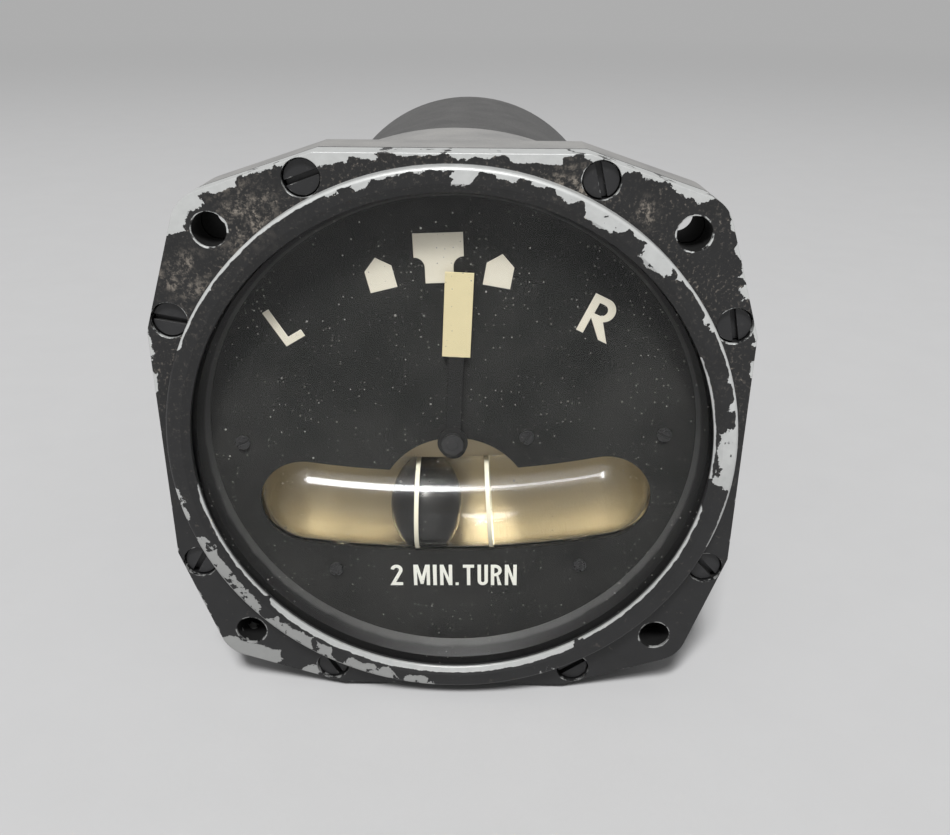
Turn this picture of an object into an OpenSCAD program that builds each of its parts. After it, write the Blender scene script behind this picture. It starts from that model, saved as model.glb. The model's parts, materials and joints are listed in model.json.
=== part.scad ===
// Aircraft turn and slip indicator: a gyro turn pointer above a curved slip tube, behind glass,
// in an eight-sided panel flange with a round drum and a rear can.
// X is right, Y runs to the rear and Z is up. The origin is the centre of the flange's front face.
// All sizes are millimetres and degrees.

/* [Bezel] */
// Flange width across its flats
flange_w = 82.55; // [82:0.05:88]
// Length of each flat side of the flange
flange_flat = 35; // [28:0.5:40]
// How far the mounting holes' pitch circle lies outside the ring
mount_out = 4.45; // [4.2:0.05:5]
// Diameter of each mounting hole
mount_hole_d = 4.66; // [4:0.02:5.4]
// Corner radius of each mounting ear
ear_r = 5; // [4.5:0.1:6]
// Thickness of the bezel plate
bezel_t = 4.76; // [4.4:0.01:6]
// Step from the flange's flats in to the raised ring
ring_inset = 1.275; // [1.1:0.005:1.4]
// Wall of the raised ring outside the glass pocket
ring_wall = 1.8; // [1.6:0.05:2]
// Height of the raised ring above the flange face
ring_h = 2.4; // [2:0.1:3]
// Rounding of the ring's outer edge
ring_edge_r = 0.5; // [0.2:0.05:0.8]
// Width of the lip's bevel
lip_bevel_w = 1.17; // [0.8:0.01:1.6]
// How far the lip reaches over the glass
lip_overlap = 1.27; // [0.8:0.01:2]
// Depth of the lip's bevel
lip_bevel_depth = 0.66; // [0.3:0.02:0.8]
// Thickness of the lip in front of the glass
lip_t = 1; // [0.9:0.05:1.4]

/* [Bezel screws] */
// How far a bezel screw lies past the end of a flat
screw_past = 1.55; // [0.5:0.05:2.5]
// Distance of a bezel screw from the flange's flats
screw_edge = 3.175; // [2.875:0.025:3.475]
// Head diameter
bezel_head_d = 4.65; // [4.2:0.05:4.8]
// Head height
bezel_head_h = 1.9; // [1.6:0.1:2.4]
// How far the head sits below the flange face
bezel_head_sink = 0.7; // [0:0.05:0.9]
// Thread diameter
bezel_thread_d = 2.84; // [2.5:0.02:3]
// Length of the thread inside the case
bezel_thread_hold = 6; // [4:0.5:7]

/* [Glass and dial] */
// Thickness of the cover glass
glass_t = 2; // [1.6:0.1:2.4]
// Thickness of the gasket in front of the glass
glass_gasket_t = 0.4; // [0.3:0.05:0.6]
// Depth of the spacer ring between the glass and the dial
spacer_len = 3.2; // [2.9:0.1:3.8]
// Wall of the spacer at the glass
spacer_front_wall = 1.5; // [1:0.05:2]
// Wall of the spacer at the dial
spacer_rear_wall = 2.6; // [2:0.05:3]
// Thickness of the dial plate
dial_t = 0.6; // [0.5:0.05:0.8]
// Lean of the dial, tube and window, anticlockwise as seen from the front
dial_roll = 1.8; // [0:0.1:3]
// Further lean of the printed scale on the dial
scale_roll = 0.4; // [0:0.1:4]
// Sideways shift of the printed scale, positive to the right
scale_shift = -0.8; // [-1.5:0.1:1.5]
// Height of the raised marks
mark_t = 0.06; // [0.04:0.01:0.12]
// Head diameter of the dial screws
dial_head_d = 2.1; // [1.8:0.05:2.4]
// Thread diameter of the dial screws
dial_thread_d = 1.2; // [1:0.05:1.5]

/* [Dial marks] */
// Width of the index head
index_w = 6.8; // [6:0.1:8]
// Width of the index stem
index_stem_w = 3.9; // [3:0.1:4.5]
// Top of the index above the dial centre
index_top = 30.5; // [29.5:0.1:31.5]
// Height of the index head
index_head_h = 3.3; // [2.5:0.1:3.5]
// Bottom of the index stem above the dial centre
index_foot = 23.6; // [22.5:0.1:25]
// Fillet under the index head
index_fillet = 1.4; // [0.4:0.1:1.4]
// Angle of each standard-rate mark from the index
rate_angle = 18.6; // [14:0.1:22]
// Lean of each standard-rate mark
rate_lean = 12; // [8:0.1:18]
// Distance of a standard-rate mark's base from the dial centre
rate_base_r = 24.1; // [23:0.1:26]
// Width of a standard-rate mark
rate_w = 3.8; // [3:0.1:5]
// Height of a standard-rate mark's straight sides
rate_side_h = 3.05; // [2:0.05:3.5]
// Full height of a standard-rate mark
rate_h = 4.6; // [4:0.05:5]

/* [Slip tube] */
// Outside radius of the glass tube
tube_r = 7.2; // [6.9:0.05:7.4]
// Wall of the glass tube
tube_wall = 1.3; // [1.2:0.05:1.7]
// Radius of the tube's bend
bend_r = 130; // [115:1:150]
// Half-angle of the tube along its bend, between its rounded ends
tube_half_angle = 10; // [8.8:0.1:10.4]
// Lowest point of the tube's axis below the dial centre
tube_drop = 12.4; // [12:0.05:12.8]
// Tube axis behind the dial face
tube_set = 4.3; // [4:0.05:4.8]
// Room above the tube in the dial window
window_over = 1.1; // [0.4:0.05:1.4]
// Room below the tube in the dial window
window_under = 0.32; // [0.2:0.02:0.6]
// Radius of the round bay over the window's middle
bay_r = 11.5; // [10.5:0.1:12]
// Centre of the bay below the dial centre
bay_drop = 11.2; // [10.8:0.1:12]
// Radius of the dial's tab round the pointer pivot
tab_r = 1.9; // [1.8:0.1:2.4]
// Reach of the tab's rounded end below the dial centre
tab_drop = 1.2; // [0:0.1:2]
// Radius of the slip ball
ball_r = 5.46; // [4.9:0.02:5.46]
// Place of the ball along the bend at rest, positive to the right
ball_rest = -2; // [-4:0.1:4]
// Place of each reference band along the bend
band_angle = 2.4; // [2.2:0.05:3.2]
// Shift of both bands along the bend, positive to the right
band_shift = -0.15; // [-0.5:0.05:0.5]
// Width of a reference band
band_w = 0.65; // [0.4:0.05:1]
// Thickness of a reference band
band_t = 0.2; // [0.1:0.02:0.22]
// Thickness of the cradle behind the tube
cradle_t = 0.9; // [0.6:0.05:1.1]

/* [Pointer] */
// Lean of the pointer at rest, clockwise as seen from the front
pointer_lean = 2.3; // [-5:0.1:5]
// Width of the painted tip
tip_w = 3.93; // [3:0.05:5]
// Width of the stem
stem_w = 2.1; // [1.6:0.05:3]
// Inner end of the painted tip
tip_inner_r = 13.3; // [11:0.1:16]
// Outer end of the painted tip
tip_outer_r = 25.3; // [24:0.1:27]
// Thickness of the blade
blade_t = 0.4; // [0.3:0.05:0.6]
// Diameter of the hub in front of the blade
hub_d = 3.2; // [3:0.1:4]
// Diameter of the arbor
arbor_d = 1.6; // [1.4:0.05:1.8]
// Greatest turn of the pointer each way
pointer_travel = 30; // [20:1:30]

/* [Case] */
// Thickness of the gasket behind the bezel
bezel_gasket_t = 0.5; // [0.4:0.05:0.8]
// Depth of the eight-sided front, from the flange face
octagon_depth = 12.7; // [12.4:0.1:15]
// Step from the flange's flats in to the drum
drum_inset = 0.275; // [0.075:0.025:0.8]
// Rear end of the drum
drum_end = 30; // [29:0.1:34]
// Wall of the drum
drum_wall = 5; // [4.7:0.05:5.1]
// Width of the shoulder that carries the works
shoulder_w = 3; // [2.5:0.1:3.1]
// Step from the drum's bore out to the rear can's seat
can_step = 0.5; // [0.3:0.05:1]
// Wall of the rear can
can_wall = 1.2; // [0.8:0.1:1.5]
// Thickness of the can's end
can_end_t = 1.5; // [1:0.1:2]
// Room between the filter board and the can's end
rear_room = 26.9; // [25:0.1:34]
// Thickness of the can seal
can_seal_t = 0.6; // [0.4:0.1:0.8]

/* [Frame] */
// Thickness of the front and rear plates
plate_t = 2.5; // [2.2:0.1:3]
// Gap between the rear plate and the can
rear_plate_gap = 0.8; // [0.6:0.05:2.3]
// Room between the gimbal frame and the rear plate
gimbal_room = 12; // [11.5:0.1:14.5]
// Diameter of the pillars between the plates
pillar_d = 5; // [4:0.1:5.4]
// Sideways place of the upper pillars
upper_pillar_x = 21.5; // [20:0.1:22.5]
// Height of the upper pillars
upper_pillar_z = 21.5; // [20:0.1:22.5]
// Sideways place of the lower pillars
lower_pillar_x = 26; // [25.5:0.1:26.6]
// Depth of the lower pillars below the dial centre
lower_pillar_drop = 15; // [14.5:0.1:15.5]
// Width across the flats of the rear posts
post_flats = 6; // [5.5:0.1:6.4]
// Diameter of the bracket's posts behind the dial
bracket_post_d = 4; // [3.6:0.1:4.2]
// Thickness of the inclinometer bracket
bracket_t = 1; // [0.8:0.05:1.2]

/* [Gyro] */
// Gimbal axis below the pointer axis
gimbal_drop = 9; // [8.8:0.05:9.2]
// Gap between the rotor and the gimbal frame's sides
rotor_side_gap = 2.5; // [2.3:0.05:3]
// Gap between the rotor and the gimbal frame's ends
rotor_end_gap = 2; // [1.5:0.05:2.5]
// Height of the gimbal frame's bars
bar_h = 12; // [11:0.1:12.5]
// Thickness of the gimbal frame's bars
bar_t = 4; // [3.5:0.1:4.4]
// Greatest tilt of the gimbal each way
gimbal_travel = 15; // [10:1:15]
// Diameter of the gimbal's pivots
pivot_d = 3; // [2.6:0.1:3.4]
// Diameter of the rotor
rotor_d = 44; // [40:0.5:45]
// Width of the rotor
rotor_w = 24; // [22:0.5:24.6]
// Thickness of the rotor's rim
rim_t = 8.8; // [7:0.1:9]
// Thickness of the rotor's web
web_t = 3.5; // [3:0.1:4]
// Diameter of the rotor shaft
shaft_d = 5; // [4.4:0.1:5.6]
// Outside diameter of the rotor bearings
bearing_d = 10; // [9:0.1:11]
// Gap between the motor stator and the rotor's rim
stator_gap = 0.6; // [0.4:0.05:1.2]
// Slots round the motor stator
stator_slots = 12; // [6:2:16]

/* [Damper and spring] */
// Reach of the damper arm from the gimbal axis
damper_reach = 16; // [15.5:0.1:16.5]
// Bore of the damper cylinder
damper_bore_d = 6.5; // [6:0.1:6.8]
// Wall of the damper cylinder
damper_wall = 0.95; // [0.7:0.05:1.2]
// Length of the damper cylinder
damper_len = 15; // [15:0.1:16]
// Length of the damper piston
piston_len = 4; // [3:0.1:4.2]
// Mean radius of the centring spring
spring_r = 2; // [1.8:0.05:2.2]
// Wire radius of the centring spring
spring_wire_r = 0.3; // [0.2:0.02:0.35]
// Curls in the centring spring
spring_turns = 9; // [6:1:10]
// Rise of the centring spring per curl
spring_pitch = 1.35; // [1.3:0.05:1.5]
// Free length of the centring spring
spring_len = 17; // [16.5:0.1:18]

/* [Electrics] */
// Diameter of the filter board
board_d = 50; // [46:0.5:52]
// Thickness of the filter board
board_t = 1.6; // [1.2:0.1:2]
// Gap between the rear plate and the filter board
board_gap = 13.5; // [10:0.5:15]
// Diameter of the filter capacitors
capacitor_d = 10; // [8:0.5:11]
// Length of the filter capacitors
capacitor_len = 13; // [10:0.5:15]
// Diameter of the connector barrel
connector_d = 19; // [18:0.1:20]
// Length of the connector barrel behind its flange
connector_len = 12; // [10:0.5:14]
// Width of the connector flange
connector_flange_w = 25; // [24:0.2:27]
// Offset of the connector screws from the connector's centre lines
connector_screw_at = 9.2; // [9:0.05:9.5]

/* [Clearances] */
// Radial gap of a fixed fit
fit_gap = 0.03; // [0.01:0.01:0.06]
// Radial gap of a turning or sliding fit
run_gap = 0.05; // [0.03:0.01:0.08]
// Gap of a loose fixed piece in its pocket
seat_gap = 0.2; // [0.1:0.02:0.3]
// Side gap of the crank pin in the pointer fork
fork_gap = 0.5; // [0.4:0.02:0.6]

/* [Hidden] */
$fn = 96;
cut = 1;
gimbal_z = -gimbal_drop;

// Diameters, from the flange inwards
half_w = flange_w / 2;
half_flat = flange_flat / 2;
ring_d = flange_w - 2 * ring_inset;
mount_pcd = ring_d + 2 * mount_out;
pocket_r = ring_d / 2 - ring_wall;
glass_d = 2 * (pocket_r - seat_gap);
lip_bore_d = glass_d - 2 * lip_overlap;
lip_bevel_d = lip_bore_d + 2 * lip_bevel_w;
spacer_front_d = glass_d - 2 * spacer_front_wall;
spacer_rear_d = glass_d - 2 * spacer_rear_wall;
dial_d = glass_d - 2 * seat_gap;
land_r = pocket_r - 2 * seat_gap;
drum_d = flange_w - 2 * drum_inset;
case_bore_d = drum_d - 2 * drum_wall;
case_bore_r = case_bore_d / 2;
shoulder_bore_d = case_bore_d - 2 * shoulder_w;
front_plate_d = case_bore_d - 2 * seat_gap;
can_r = case_bore_r + can_step;
can_in_r = can_r - can_wall;
rear_plate_d = 2 * (can_in_r - rear_plate_gap);

// Stack along Y, from the front of the ring to the dial
lip_back = lip_t - ring_h;
glass_y = lip_back + glass_gasket_t;
spacer_y = glass_y + glass_t;
dial_y = spacer_y + spacer_len;
dial_back = dial_y + dial_t;
body_y = bezel_t + bezel_gasket_t;

// Corners of the flange: mounting ears blended into the flats by straight tangents
mount_at = mount_pcd / 2 * sin(45);
ear = [mount_at, mount_at];
to_ear = ear - [half_flat, half_w];
ear_arc_start = atan2(to_ear.y, to_ear.x) + asin(ear_r / norm(to_ear)) + 90;
ear_arc_steps = 8;
ear_arc = [
  for (k = [0:ear_arc_steps])
    let (a = ear_arc_start + k / ear_arc_steps * (90 - 2 * ear_arc_start))
    ear + ear_r * [cos(a), sin(a)]
];
corner = concat([[half_flat, half_w]], ear_arc, [[half_w, half_flat]]);
function mirrored(points, kx, kz) = [for (p = points) [kx * p.x, kz * p.y]];
function backwards(points) = [for (i = [len(points) - 1:-1:0]) points[i]];
outline_points = concat(
  corner,
  backwards(mirrored(corner, 1, -1)),
  mirrored(corner, -1, -1),
  backwards(mirrored(corner, -1, 1))
);
ears = [for (sx = [-1, 1], sz = [-1, 1]) [sx * mount_at, sz * mount_at]];

// Bezel screws, clockwise from the top right: place and turn of the slot
screw_near = half_flat + screw_past;
screw_far = half_w - screw_edge;
bezel_screw_places = [
  [screw_near, screw_far, 104],
  [screw_far, screw_near, 102],
  [screw_far, -screw_near, 132],
  [screw_near, -screw_far, 35],
  [-screw_near, -screw_far, 120],
  [-screw_far, -screw_near, 60],
  [-screw_far, screw_near, 170],
  [-screw_near, screw_far, 20]
];
bezel_head_r = bezel_head_d / 2;
bezel_counterbore = bezel_head_h + bezel_head_sink;
bezel_thread_r = bezel_thread_d / 2;
bezel_thread_end = body_y + bezel_thread_hold;

// Dial screws and bracket posts behind them, in the dial's own lean
upper_post_x = (shoulder_bore_d - bracket_post_d) / 2 - seat_gap;
upper_post_rise = 0.3;
lower_post_x = 18.9;
lower_post_drop = 21.7;
middle_post_x = 10.8;
post_places = [
  [-upper_post_x, upper_post_rise],
  [upper_post_x, upper_post_rise],
  [-lower_post_x, -lower_post_drop],
  [lower_post_x, -lower_post_drop]
];
dial_screw_places = concat(post_places, [[middle_post_x, upper_post_rise]]);
dial_thread_r = dial_thread_d / 2;
dial_thread_len = 3.6;
dial_head_h = 0.5;

// Slip tube: axis depth, bend centre and the window that clears it
tube_y = dial_y + tube_set;
tube_z = -tube_drop;
bend_z = tube_z + bend_r;
bore_r = tube_r - tube_wall;
ball_sink = (bore_r - ball_r) * 0.7;
tube_chord = sqrt(tube_r * tube_r - pow(tube_y - dial_back, 2));
window_half_h = tube_chord + (window_over + window_under) / 2;
window_bend_r = bend_r - (window_over - window_under) / 2;
cradle_gap = 0.3;
cradle_in_r = tube_r + cradle_gap;
cradle_out_r = cradle_in_r + cradle_t;
cradle_foot_w = 6;
cradle_foot_h = 0.3;
bracket_y = tube_y + cradle_out_r + cradle_foot_h;
bracket_back = bracket_y + bracket_t;
bracket_top = 5;
bracket_bottom = -26;
bracket_r = shoulder_bore_d / 2 - seat_gap;
band_notch_gap = 0.15;

// Front plate and the shafts that run in it
shoulder_back = 20;
shoulder_t = 3;
front_plate_back = shoulder_back + plate_t;
bush_flange_t = 0.6;
arbor_r = arbor_d / 2;
apron_over = 0.6;
apron_clear = 0.5;
apron_top = -arbor_r - apron_clear;
pointer_bush_r = 2.2;
pointer_bush_flange_r = 3;
arbor_collar_r = 1.5;
arbor_collar_gap = 0.3;
arbor_collar_y = bracket_back + arbor_collar_gap;
arbor_collar_t = 0.8;
pivot_r = pivot_d / 2;
gimbal_bush_r = 3.5;
gimbal_bush_flange_r = 4.5;

// Pointer in front of the dial and its fork behind the front plate
blade_stand = 1.2;
blade_y = dial_y - blade_stand;
hub_cap_t = 0.8;
hub_sleeve_t = 0.4;
hub_front = blade_y - hub_cap_t;
hub_back = blade_y + blade_t + hub_sleeve_t;
hub_sleeve_r = arbor_r + hub_sleeve_t;
dial_hole_r = hub_sleeve_r + seat_gap;
boss_r = 2.2;
fork_clear = 0.7;
fork_y = front_plate_back + fork_clear;
fork_t = 1;
fork_reach = 4.9;
fork_wall = 0.8;
crank_pin_r = 0.6;
crank_pin_rise = 6;
crank_clear = 1;
crank_y = fork_y + fork_t + crank_clear;
crank_pin_past = 0.3;
crank_t = 1.2;
crank_w = 3;
arbor_past = 0.4;
arbor_end = fork_y + fork_t + arbor_past;

// Gimbal frame, rotor and motor
gimbal_collar_t = 1.6;
gimbal_w = rotor_w + 2 * (rotor_side_gap + bar_t);
gimbal_len = rotor_d + 2 * (rotor_end_gap + bar_t);
gimbal_y = crank_y + crank_t + gimbal_collar_t;
gimbal_back = gimbal_y + gimbal_len;
rear_plate_y = gimbal_back + gimbal_room;
rear_plate_back = rear_plate_y + plate_t;
rotor_y = gimbal_y + gimbal_len / 2;
gimbal_half_w = gimbal_w / 2;
bar_half_h = bar_h / 2;
pivot_hold = 2;
pivot_collar_r = 2.5;
bearing_r = bearing_d / 2;
boss_ring_wall = 2.5;
boss_ring_r = bearing_r + boss_ring_wall;
bearing_in = gimbal_half_w - bar_t;
cap_t = 1.2;
shaft_r = shaft_d / 2;
rotor_r = rotor_d / 2;
rotor_half_w = rotor_w / 2;
rim_in_r = rotor_r - rim_t;
hub_wall = 2;
hub_r = shaft_r + hub_wall;
stator_r = rim_in_r - stator_gap;
stator_bore_gap = 1.6;
stator_bore_r = hub_r + stator_bore_gap;
stator_left = -4;
stator_right = 9;
carrier_r = 8.5;
winding_in_step = 0.6;
winding_out_step = 1.2;
winding_in_r = stator_bore_r + winding_in_step;
winding_out_r = stator_r - winding_out_step;
winding_t = 2.2;
slot_w = 1.6;
slot_depth = 3;

// Stop pins stand where the bars meet them just past the gimbal's travel
stop_r = 1.2;
stop_x = 16;
stop_past = 0.8;
stop_angle = gimbal_travel + stop_past;
stop_z = gimbal_z + (bar_half_h + stop_r + stop_x * sin(stop_angle)) / cos(stop_angle);
stop_tail_r = 0.8;

// Damper arm on the rear pivot, damper beside it and centring spring above it
arm_collar_t = 4.2;
arm_y = gimbal_back + arm_collar_t;
arm_t = 1.6;
arm_w = 3.6;
arm_ring_r = 3.2;
arm_pin_r = 0.7;
spring_pad_rise = 8.5;
spring_pad_w = 5.4;
eye_gap = 0.4;
arm_pin_past = 0.4;
eye_y = arm_y + arm_t + eye_gap;
eye_t = 1.6;
eye_end_h = 0.2;
eye_side = 0.95;
eye_rim = 1.1;
damper_y = eye_y + eye_t / 2;
damper_x = -damper_reach;
damper_bottom = 1.5;
damper_floor = 1;
damper_bore_r = damper_bore_d / 2;
damper_r = damper_bore_r + damper_wall;
damper_rod_r = 0.8;
damper_rod_hole_r = 1.1;
piston_r = damper_bore_r - run_gap;
piston_z = damper_bottom + damper_floor + (damper_len - damper_floor - piston_len) / 2;
damper_block_w = 6;
damper_block_h = 10;
spring_y = arm_y + arm_t / 2;
spring_foot = gimbal_z + spring_pad_rise;
spring_top = spring_foot + spring_len;
adjuster_pad_r = 2.8;
adjuster_pad_t = 0.8;
adjuster_r = 1.5;
adjuster_slot_w = 0.6;
adjuster_slot_depth = 0.8;
adjuster_len = 10.5;
adjuster_arm_rise = 3;
adjuster_top = spring_top + adjuster_len;
adjuster_arm_z = spring_top + adjuster_arm_rise;
adjuster_arm_h = 3;
adjuster_arm_w = 7;
adjuster_foot_w = 12;
adjuster_foot_h = 8;
adjuster_foot_t = 2.5;
adjuster_foot_z = adjuster_arm_z + adjuster_arm_h / 2 - adjuster_foot_h / 2;
adjuster_nut_h = 2;
adjuster_nut_flats = 5.5;

// Screws inside the case
plate_screw_in = 1.2;
plate_screw_at_r = shoulder_bore_d / 2 + plate_screw_in;
plate_screw_angles = [70, 110, 250, 290];
plate_screw_r = 0.8;
plate_screw_head_r = 1.4;
bracket_screw_r = 1.1;
bracket_screw_head_r = 1.7;
bracket_screw_hold = 5;
block_screw_r = 0.8;
block_screw_head_r = 1.5;
block_screw_hold = 1.4;
damper_screw_at = 3;
adjuster_screw_at = 4.2;
block_screw_places = [
  [damper_x, damper_bottom + damper_len / 2 - damper_screw_at],
  [damper_x, damper_bottom + damper_len / 2 + damper_screw_at],
  [-adjuster_screw_at, adjuster_arm_z + adjuster_arm_h / 2],
  [adjuster_screw_at, adjuster_arm_z + adjuster_arm_h / 2]
];
small_head_h = 1.2;

// Pillars, rear posts and can
pillar_places = [
  [-upper_pillar_x, upper_pillar_z],
  [upper_pillar_x, upper_pillar_z],
  [-lower_pillar_x, -lower_pillar_drop],
  [lower_pillar_x, -lower_pillar_drop]
];
pillar_r = pillar_d / 2;
pillar_stud_r = 1.5;
pillar_tail_r = 1.2;
pillar_stud_hold = 4;
can_seat = 24;
can_front = can_seat + can_seal_t;
can_edge = 0.8;
can_screw_r = 1;
can_screw_head_r = 2;
can_screw_hold = 6;

// Board and connector
board_y = rear_plate_back + board_gap;
board_back = board_y + board_t;
can_inside_end = board_back + rear_room;
can_end = can_inside_end + can_end_t;
board_spacer_r = 2.2;
board_spacer_x = 19;
capacitor_x = 13;
capacitor_z = -8;
connector_r = connector_d / 2;
connector_wall = 1.5;
connector_bore_r = connector_r - connector_wall;
connector_gasket_t = 0.5;
connector_flange_t = 2.5;
connector_flange_y = can_end + connector_gasket_t;
connector_barrel_y = connector_flange_y + connector_flange_t;
connector_end = connector_barrel_y + connector_len;
connector_corner_r = 2.5;
connector_recess = 0.6;
insert_r = connector_bore_r - fit_gap;
insert_past = 1;
insert_front = can_inside_end - insert_past;
can_hole_r = connector_bore_r + seat_gap;
contact_count = 3;
contact_at_r = 4;
contact_r = 1.3;
contact_bore_r = 0.8;
contact_bore_depth = 8;
contact_past = 3;
contact_front = insert_front - contact_past;
connector_screw_r = 1.1;
connector_screw_head_r = 1.8;
connector_screw_hold = 4;
wire_r = 0.6;
wire_rings = 12;
wire_at_r = 8.8;
wire_straight = 2.75;

// A place on the face, with local z running to the rear
module along_y(y, x = 0, z = 0) {
  translate([x, y, z]) rotate([-90, 0, 0]) children();
}

// A round bar from y0 to y1
module rod_y(y0, y1, r, x = 0, z = 0) {
  along_y(y0, x, z) cylinder(h = y1 - y0, r = r);
}

// A hole through y0 to y1, running past both ends
module hole_y(y0, y1, r, x = 0, z = 0) {
  rod_y(y0 - cut, y1 + cut, r, x, z);
}

// A turned shape from a half profile of [radius, y] points
module spin_y() {
  rotate([-90, 0, 0]) rotate_extrude() children();
}

// A plate from y0 to y1 with its outline drawn in x and z
module plate_y(y0, y1) {
  translate([0, y1, 0]) rotate([90, 0, 0]) linear_extrude(y1 - y0) children();
}

// A round bar across the case on the rotor's axis
module rod_x(x0, x1, r) {
  translate([x0, rotor_y, gimbal_z]) rotate([0, 90, 0]) cylinder(h = x1 - x0, r = r);
}

// A rectangle from one corner to the other
module box_2d(x0, z0, x1, z1) {
  translate([x0, z0]) square([x1 - x0, z1 - z0]);
}

// A slot across a face at y, cut towards the rear by depth, or towards the front if negative
module slot_y(y, r, width, depth, turn) {
  translate([0, y, 0]) rotate([0, -turn, 0]) translate([-r - cut, min(0, depth), -width / 2])
    cube([2 * (r + cut), abs(depth), width]);
}

// A screw whose slotted head faces the rear and sits on a face at y
module rear_screw(x, z, y, head_r, shank_r, shank_len, turn) {
  head_y = y + small_head_h;
  translate([x, 0, z]) {
    difference() {
      rod_y(y, head_y, head_r);
      slot_y(head_y, head_r, head_r * 0.4, -small_head_h / 2, turn);
    }
    rod_y(y - shank_len, y, shank_r);
  }
}

// Dial, tube, window and bracket posts share the dial's lean
module dial_lean() {
  rotate([0, -dial_roll, 0]) children();
}

// A sweep of a profile along the tube's bend
module tube_sweep(half_angle) {
  dial_lean() translate([0, tube_y, bend_z]) rotate([-90, 0, 0]) rotate([0, 0, 90 - half_angle])
    rotate_extrude(angle = 2 * half_angle, $fn = 360) translate([bend_r, 0]) children();
}

// A place on the tube's axis, positive angles to the right
module at_tube(angle) {
  dial_lean() translate([0, tube_y, bend_z]) rotate([0, -angle, 0]) translate([0, 0, -bend_r])
    children();
}

function unit(v) = v / norm(v);

// A tube round a list of points; guides are reference directions across each ring
module tube_along(points, guides, r, sides) {
  last = len(points) - 1;
  corners = [
    for (i = [0:last])
      let (t = unit(points[min(i + 1, last)] - points[max(i - 1, 0)]))
      let (n = unit(guides[i] - (guides[i] * t) * t), b = cross(t, n))
      for (k = [0:sides - 1]) points[i] + r * (cos(360 * k / sides) * n + sin(360 * k / sides) * b)
  ];
  wall = [
    for (i = [0:last - 1], k = [0:sides - 1])
      let (a = i * sides + k, b = i * sides + (k + 1) % sides)
      each [[a, a + sides, b + sides], [a, b + sides, b]]
  ];
  ends = [[for (k = [0:sides - 1]) k], [for (k = [sides - 1:-1:0]) last * sides + k]];
  polyhedron(points = corners, faces = concat(wall, ends));
}

module flange_outline() {
  polygon(outline_points);
}

module mount_holes() {
  for (p = ears) hole_y(-cut, octagon_depth, mount_hole_d / 2, p.x, p.y);
}

module front_bezel() {
  ring_r = ring_d / 2;
  edge_mid = [ring_r - ring_edge_r, ring_edge_r - ring_h];
  edge = [for (a = [0:15:90]) edge_mid + ring_edge_r * [cos(a), -sin(a)]];
  ring_profile = concat(
    [[ring_r, cut]],
    edge,
    [
      [lip_bevel_d / 2, -ring_h],
      [lip_bore_d / 2, lip_bevel_depth - ring_h],
      [lip_bore_d / 2, lip_back],
      [pocket_r, lip_back],
      [pocket_r, cut]
    ]
  );
  color("#26262a") difference() {
    union() {
      difference() {
        plate_y(0, bezel_t) flange_outline();
        hole_y(0, bezel_t, pocket_r);
      }
      spin_y() polygon(ring_profile);
    }
    mount_holes();
    for (p = bezel_screw_places) {
      hole_y(0, bezel_t, bezel_thread_r + seat_gap, p.x, p.y);
      hole_y(0, bezel_counterbore - cut, bezel_head_r + seat_gap, p.x, p.y);
    }
  }
}

module bezel_screws() {
  color("#1d1d20") for (p = bezel_screw_places) translate([p.x, 0, p.y]) {
    difference() {
      rod_y(bezel_head_sink, bezel_counterbore, bezel_head_r);
      slot_y(bezel_head_sink, bezel_head_r, bezel_head_d * 0.17, bezel_head_h / 2, p.z);
    }
    rod_y(bezel_counterbore, bezel_thread_end, bezel_thread_r);
  }
}

module bezel_gasket() {
  color("#151515") difference() {
    plate_y(bezel_t, body_y) flange_outline();
    hole_y(bezel_t, body_y, pocket_r);
    for (p = ears) hole_y(bezel_t, body_y, mount_hole_d / 2 + seat_gap, p.x, p.y);
    for (p = bezel_screw_places) hole_y(bezel_t, body_y, bezel_thread_r + seat_gap, p.x, p.y);
  }
}

module glass_gasket() {
  color("#101010") spin_y() box_2d(lip_bore_d / 2, lip_back, glass_d / 2, glass_y);
}

module cover_glass() {
  color("#cfe0e4", 0.3) rod_y(glass_y, spacer_y, glass_d / 2);
}

module glass_spacer() {
  color("#8d8f90") spin_y() polygon([
    [spacer_front_d / 2, spacer_y],
    [glass_d / 2, spacer_y],
    [glass_d / 2, dial_y],
    [spacer_rear_d / 2, dial_y]
  ]);
}

// Long curved window with rounded ends
module window_bow() {
  translate([0, bend_z]) {
    intersection() {
      difference() {
        circle(r = window_bend_r + window_half_h);
        circle(r = window_bend_r - window_half_h);
      }
      polygon([
        [0, 0],
        [-2 * bend_r * sin(tube_half_angle), -2 * bend_r * cos(tube_half_angle)],
        [2 * bend_r * sin(tube_half_angle), -2 * bend_r * cos(tube_half_angle)]
      ]);
    }
    for (side = [-1, 1]) rotate(side * tube_half_angle) translate([0, -window_bend_r])
      circle(r = window_half_h);
  }
}

// Round bay over the window's middle, with the tab round the pivot standing into it
module window_bay() {
  difference() {
    intersection() {
      translate([0, -bay_drop]) circle(r = bay_r);
      box_2d(-bay_r, tube_z, bay_r, bay_r);
    }
    circle(r = tab_r);
    translate([0, -tab_drop]) circle(r = tab_r);
    box_2d(-tab_r, -tab_drop, tab_r, 0);
  }
}

module dial_plate() {
  color("#1a1b1d") difference() {
    dial_lean() plate_y(dial_y, dial_back) difference() {
      circle(d = dial_d);
      window_bow();
      window_bay();
      circle(r = dial_hole_r);
      for (p = dial_screw_places) translate(p) circle(r = dial_thread_r + seat_gap);
    }
    for (side = [-1, 1]) band_ring(side, band_notch_gap);
  }
}

// One reference band round the tube, grown by a margin
module band_ring(side, margin) {
  half = band_w / 2 + margin;
  at_tube(side * band_angle + band_shift) rotate([0, 90, 0]) rotate_extrude()
    box_2d(tube_r + fit_gap, -half, tube_r + fit_gap + band_t + margin, half);
}

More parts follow.
